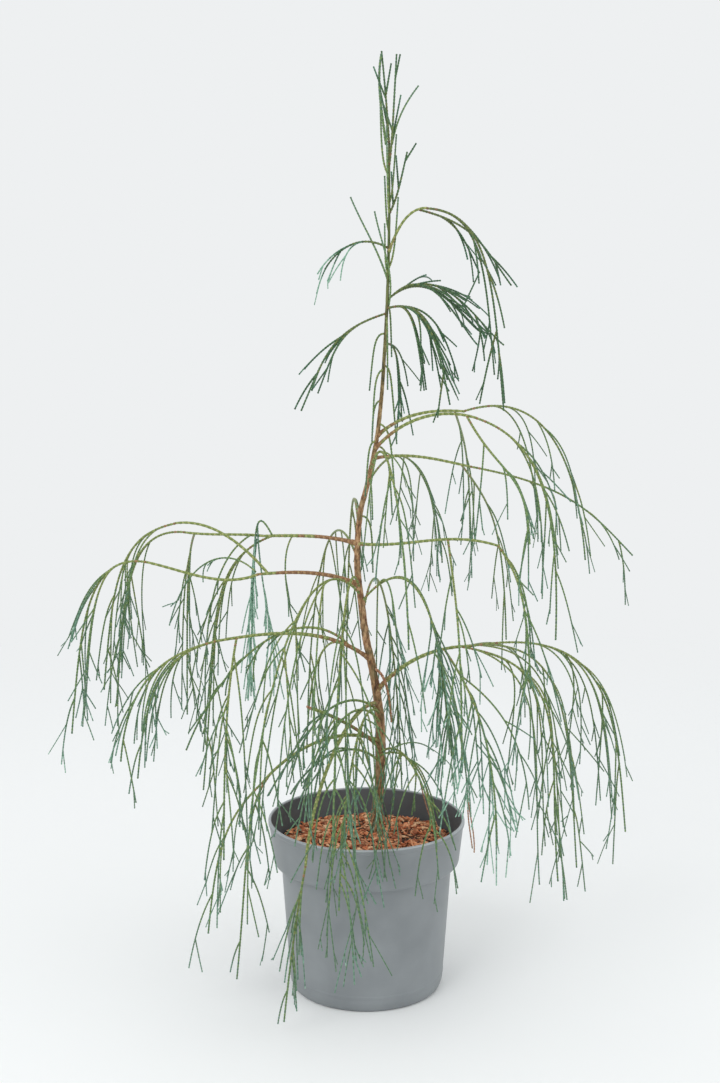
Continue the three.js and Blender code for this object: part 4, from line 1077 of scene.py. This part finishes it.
# Odd shoots: what breaks the pattern of the crown. A pale young tuft stands off the left bough, thin arches
# leave the foot of the trunk in front, one of them snapped to a stub, and a few tips have died and rusted.
TUFT_FORKS = dict(lengths=(26, 66), spacing=13, angles=(5, 17), lean=(0.02, 0.2), first=0.42)
FEW_FORKS, MANY_FORKS = dict(lengths=(14, 40), spacing=32), dict(lengths=(30, 90), spacing=32)
ODD_SHOOTS = {  # four points of each curve, radii at root and tip, hues at root and tip, forks along it
    "left_upper_inner": [
        ((-102, 38, 494), (-128, 40, 545), (-118, 40, 470), (-130, 36, 310), 1.1, 0.85, 3.5, 7.4, TUFT_FORKS),
        ((-118, 40, 506), (-117, 40, 450), (-106, 38, 410), (-98, 34, 335), 1.0, 0.85, 5.2, 7.2, TUFT_FORKS),
        ((-119, 40, 490), (-122, 40, 450), (-133, 38, 410), (-126, 36, 320), 0.9, 0.8, 5.6, 7.2, TUFT_FORKS),
        ((-80, 37, 494), (-96, 20, 470), (-84, 10, 420), (-66, 4, 350), 1.0, 0.8, 2.6, 5.0, FEW_FORKS),
    ],
    "left_arch_outer": [
        ((-117, -8, 462), (-145, 0, 490), (-192, 6, 480), (-212, 10, 400), 1.0, 0.8, 2.8, 5.2, FEW_FORKS),
    ],
    "left_upper_third": [
        ((-125, 42, 494), (-168, 30, 470), (-178, 20, 400), (-175, 16, 280), 1.1, 0.8, 2.8, 5.0, FEW_FORKS),
    ],
    "left_low_second": [
        ((-16, 10, 375), (-60, -10, 433), (-142, -50, 402), (-188, -70, 285), 1.5, 1.0, 1.9, 4.2, MANY_FORKS),
    ],
    "left_low_front": [
        ((-24, 5, 380), (-44, -6, 396), (-62, -18, 372), (-64, -22, 268), 1.3, 0.9, 1.8, 4.4, MANY_FORKS),
    ],
    "top_tuft": [
        ((20, 17, 905), (14, 16, 945), (10, 16, 972), (15, 16, 996), 1.5, 1.3, 3.6, 4.2, None),
    ],
    "top_right_tuft": [
        ((26, 15, 905), (31, 12, 934), (42, 12, 950), (53, 12, 964), 1.1, 0.9, 3.2, 4.4, None),
    ],
    "left_top_spray": [
        ((23, 18, 764), (12, 20, 800), (-4, 26, 822), (-17, 30, 853), 1.2, 0.9, 3.6, 4.4, None),
        ((23, 18, 741), (30, 14, 775), (16, 12, 800), (8, 10, 838), 1.1, 0.9, 3.2, 4.4, None),
    ],
    "right_loop_front": [
        ((8, 19, 350), (20, 10, 350), (25, 2, 328), (27, -2, 296), 1.7, 1.2, 0.3, 1.4, None),
        ((65, -127, 405), (86, -125, 380), (98, -108, 320), (104, -100, 241), 1.0, 0.8, 3.6, 4.4, FEW_FORKS),
        ((104, -100, 243), (106, -100, 222), (112, -99, 205), (111, -99, 184), 0.8, 0.7, 0.2, 0.4, None),
        ((104, -100, 241), (103, -101, 222), (108, -101, 200), (109, -100, 189), 0.8, 0.7, 0.2, 0.9, None),
    ],
    "front_middle_fall": [
        ((14, 17, 262), (-5, 0, 288), (-38, -42, 316), (-57, -60, 327), 2.0, 1.8, 1.6, 2.4, None),
        ((-57, -60, 327), (-59, -62, 328), (-61, -64, 330), (-62, -66, 331), 1.7, 1.3, 0.8, 0.2, None),
    ],
    "front_fall": [
        ((15, 18, 300), (-12, -20, 345), (-60, -60, 330), (-78, -78, 262), 1.5, 1.1, 2.1, 4.9, MANY_FORKS),
        ((15, 18, 290), (-8, -30, 340), (-44, -84, 320), (-54, -104, 246), 1.4, 1.0, 2.2, 4.4, MANY_FORKS),
        ((14, 18, 246), (-10, -14, 282), (-50, -50, 282), (-80, -66, 236), 1.5, 1.1, 2.1, 4.9, MANY_FORKS),
    ],
    "right_foot_spray": [
        ((13, 18, 252), (40, -10, 276), (62, -46, 262), (72, -60, 204), 1.2, 0.9, 2.4, 3.4, MANY_FORKS),
        ((62, -42, 240), (66, -50, 222), (72, -56, 196), (84, -60, 184), 0.8, 0.7, 0.3, 0.5, None),
        ((56, -36, 246), (62, -44, 216), (70, -44, 196), (76, -46, 180), 0.8, 0.7, 0.4, 0.9, None),
    ],
}
ODD_FORK_STIFFNESS = (10, 45)
STRAND_COUNT = 18  # short strands along the upper trunk, which stand above a height and hang below it
STRAND_HEIGHTS, STRAND_TURN = (515 * MM, 880 * MM), 770 * MM
STRAND_LENGTHS, STRAND_STIFFNESS, STRAND_LEAN = (40, 95), (7, 13), (0.02, 0.12)
STRAND_RADII, STRAND_HUES = (1.15 * MM, 0.9 * MM), (2.7, 4.4)
STRAND_RISES, STRAND_DIPS, STRAND_SWAY = (0.9, 2.0), (-0.2, 0.3), 0.5

odd_draws = np.random.default_rng(59)
odd_shoots = []
for *controls, root, tip, root_hue, tip_hue, forking in sum(ODD_SHOOTS.values(), []):
    path = bezier(MM * np.array(controls, float), np.linspace(0, 1, PATH_POINTS))
    shoot = dict(
        path=path, radii=MM * np.array([root, tip]), hues=(root_hue, tip_hue), rest=DOWN,
        length=steps_of(path).sum(),
    )
    odd_shoots.append(shoot)
    if forking:
        habit = {**FORKING, "stiffness": ODD_FORK_STIFFNESS, **forking}
        forks = forks_of([shoot], odd_draws, habit, *crown)
        odd_shoots += forks + forks_of(forks, odd_draws, {**habit, **TWIG_FORKING}, *crown)
for number in range(STRAND_COUNT):
    height = np.interp(number + odd_draws.uniform(0, 1), [0, STRAND_COUNT], STRAND_HEIGHTS)
    side = sideways_at(GOLDEN_ANGLE * number + odd_draws.uniform(-STRAND_SWAY, STRAND_SWAY))
    stands = height > STRAND_TURN
    rest = unit((-DOWN if stands else DOWN) + odd_draws.uniform(*STRAND_LEAN) * side)
    length = odd_draws.uniform(*STRAND_LENGTHS) * MM
    rising = odd_draws.uniform(*(STRAND_RISES if stands else STRAND_DIPS))
    path = hanging_path(
        trunk_at(height)[0], unit(-rising * DOWN + side), rest,
        odd_draws.uniform(*STRAND_STIFFNESS) * MM, np.linspace(0, length, PATH_POINTS),
    )
    odd_shoots.append(dict(path=path, radii=STRAND_RADII, hues=STRAND_HUES))
ring_piece("odd_shoots", scaly_batches(odd_shoots, 5), foliage_looks, list(ODD_SHOOTS))


# Studio: a pale matt floor that fades into a bright even backdrop, one broad soft light from the front
# left and a weaker one from the right.
FLOOR_RADIUS, FLOOR_SIDES = 2.6, 96
FLOOR_FADE = (0.75, 2.3)
FLOOR_WHITE, BACKDROP = "#f4f5f5", "#eef0f1"
LIGHTS = [("front_left_light", (-1.5, -2.2, 2.4), 30, 1.6), ("right_light", (2.2, -1.2, 1.8), 8, 1.4)]
LIGHT_AIM = np.array([0, 0, 0.45])
CAMERA_PLACE = (-0.007, -1.7916, 0.7979)
CAMERA_PITCH, CAMERA_LENS, CAMERA_SENSOR = 9.64, 56.96, 36


def pale_floor():
    """White floor paint: matt, and fading to clear between two distances from the pot."""
    material, tree = new_finish("white_floor")
    place = add_node(tree, "TexCoord").outputs["Object"]
    distance = add_node(tree, "VectorMath", {0: place}, operation="LENGTH").outputs["Value"]
    fade = {"Value": distance, "From Min": FLOOR_FADE[0], "From Max": FLOOR_FADE[1]}
    fading = add_node(tree, "MapRange", fade, interpolation_type="SMOOTHSTEP")
    paint = add_node(tree, "BsdfDiffuse", {"Color": linear(FLOOR_WHITE)})
    mix = add_node(tree, "MixShader", {0: fading, 1: paint, 2: add_node(tree, "BsdfTransparent")})
    add_node(tree, "OutputMaterial", {"Surface": mix})
    return material


rim = FLOOR_RADIUS * np.exp(1j * 2 * np.pi * np.arange(FLOOR_SIDES) / FLOOR_SIDES)
floor_mesh = bpy.data.meshes.new("studio_floor")
floor_points = np.stack([rim.real, rim.imag, 0 * rim.real], -1).tolist()
floor_mesh.from_pydata(floor_points, [], [list(range(FLOOR_SIDES))])
floor_mesh.materials.append(pale_floor())
floor = bpy.data.objects.new("studio_floor", floor_mesh)
bpy.context.scene.collection.objects.link(floor)
floor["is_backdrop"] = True

world = bpy.data.worlds.new("backdrop")
world.use_nodes = True
world.node_tree.nodes.clear()
sky = add_node(world.node_tree, "Background", {"Color": linear(BACKDROP), "Strength": 1.0})
add_node(world.node_tree, "OutputWorld", {"Surface": sky})
bpy.context.scene.world = world

for name, place, power, size in LIGHTS:
    light = bpy.data.lights.new(name, "AREA")
    light.energy, light.size = power, size
    lamp = bpy.data.objects.new(name, light)
    lamp.location = place
    aim = LIGHT_AIM - np.array(place)
    lamp.rotation_euler = (np.arctan2(np.hypot(*aim[:2]), -aim[2]), 0, np.arctan2(-aim[0], aim[1]))
    bpy.context.scene.collection.objects.link(lamp)

lens = bpy.data.cameras.new("studio_camera")
lens.lens, lens.sensor_width = CAMERA_LENS, CAMERA_SENSOR
camera = bpy.data.objects.new("studio_camera", lens)
camera.location = CAMERA_PLACE
camera.rotation_euler = (np.radians(90 - CAMERA_PITCH), 0, 0)
bpy.context.scene.collection.objects.link(camera)
bpy.context.scene.camera = camera
bpy.context.scene.view_settings.view_transform = "Standard"

low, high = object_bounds()
{"cad": [list(solid_low), list(solid_high)], "visual": [list(low), list(high)]}
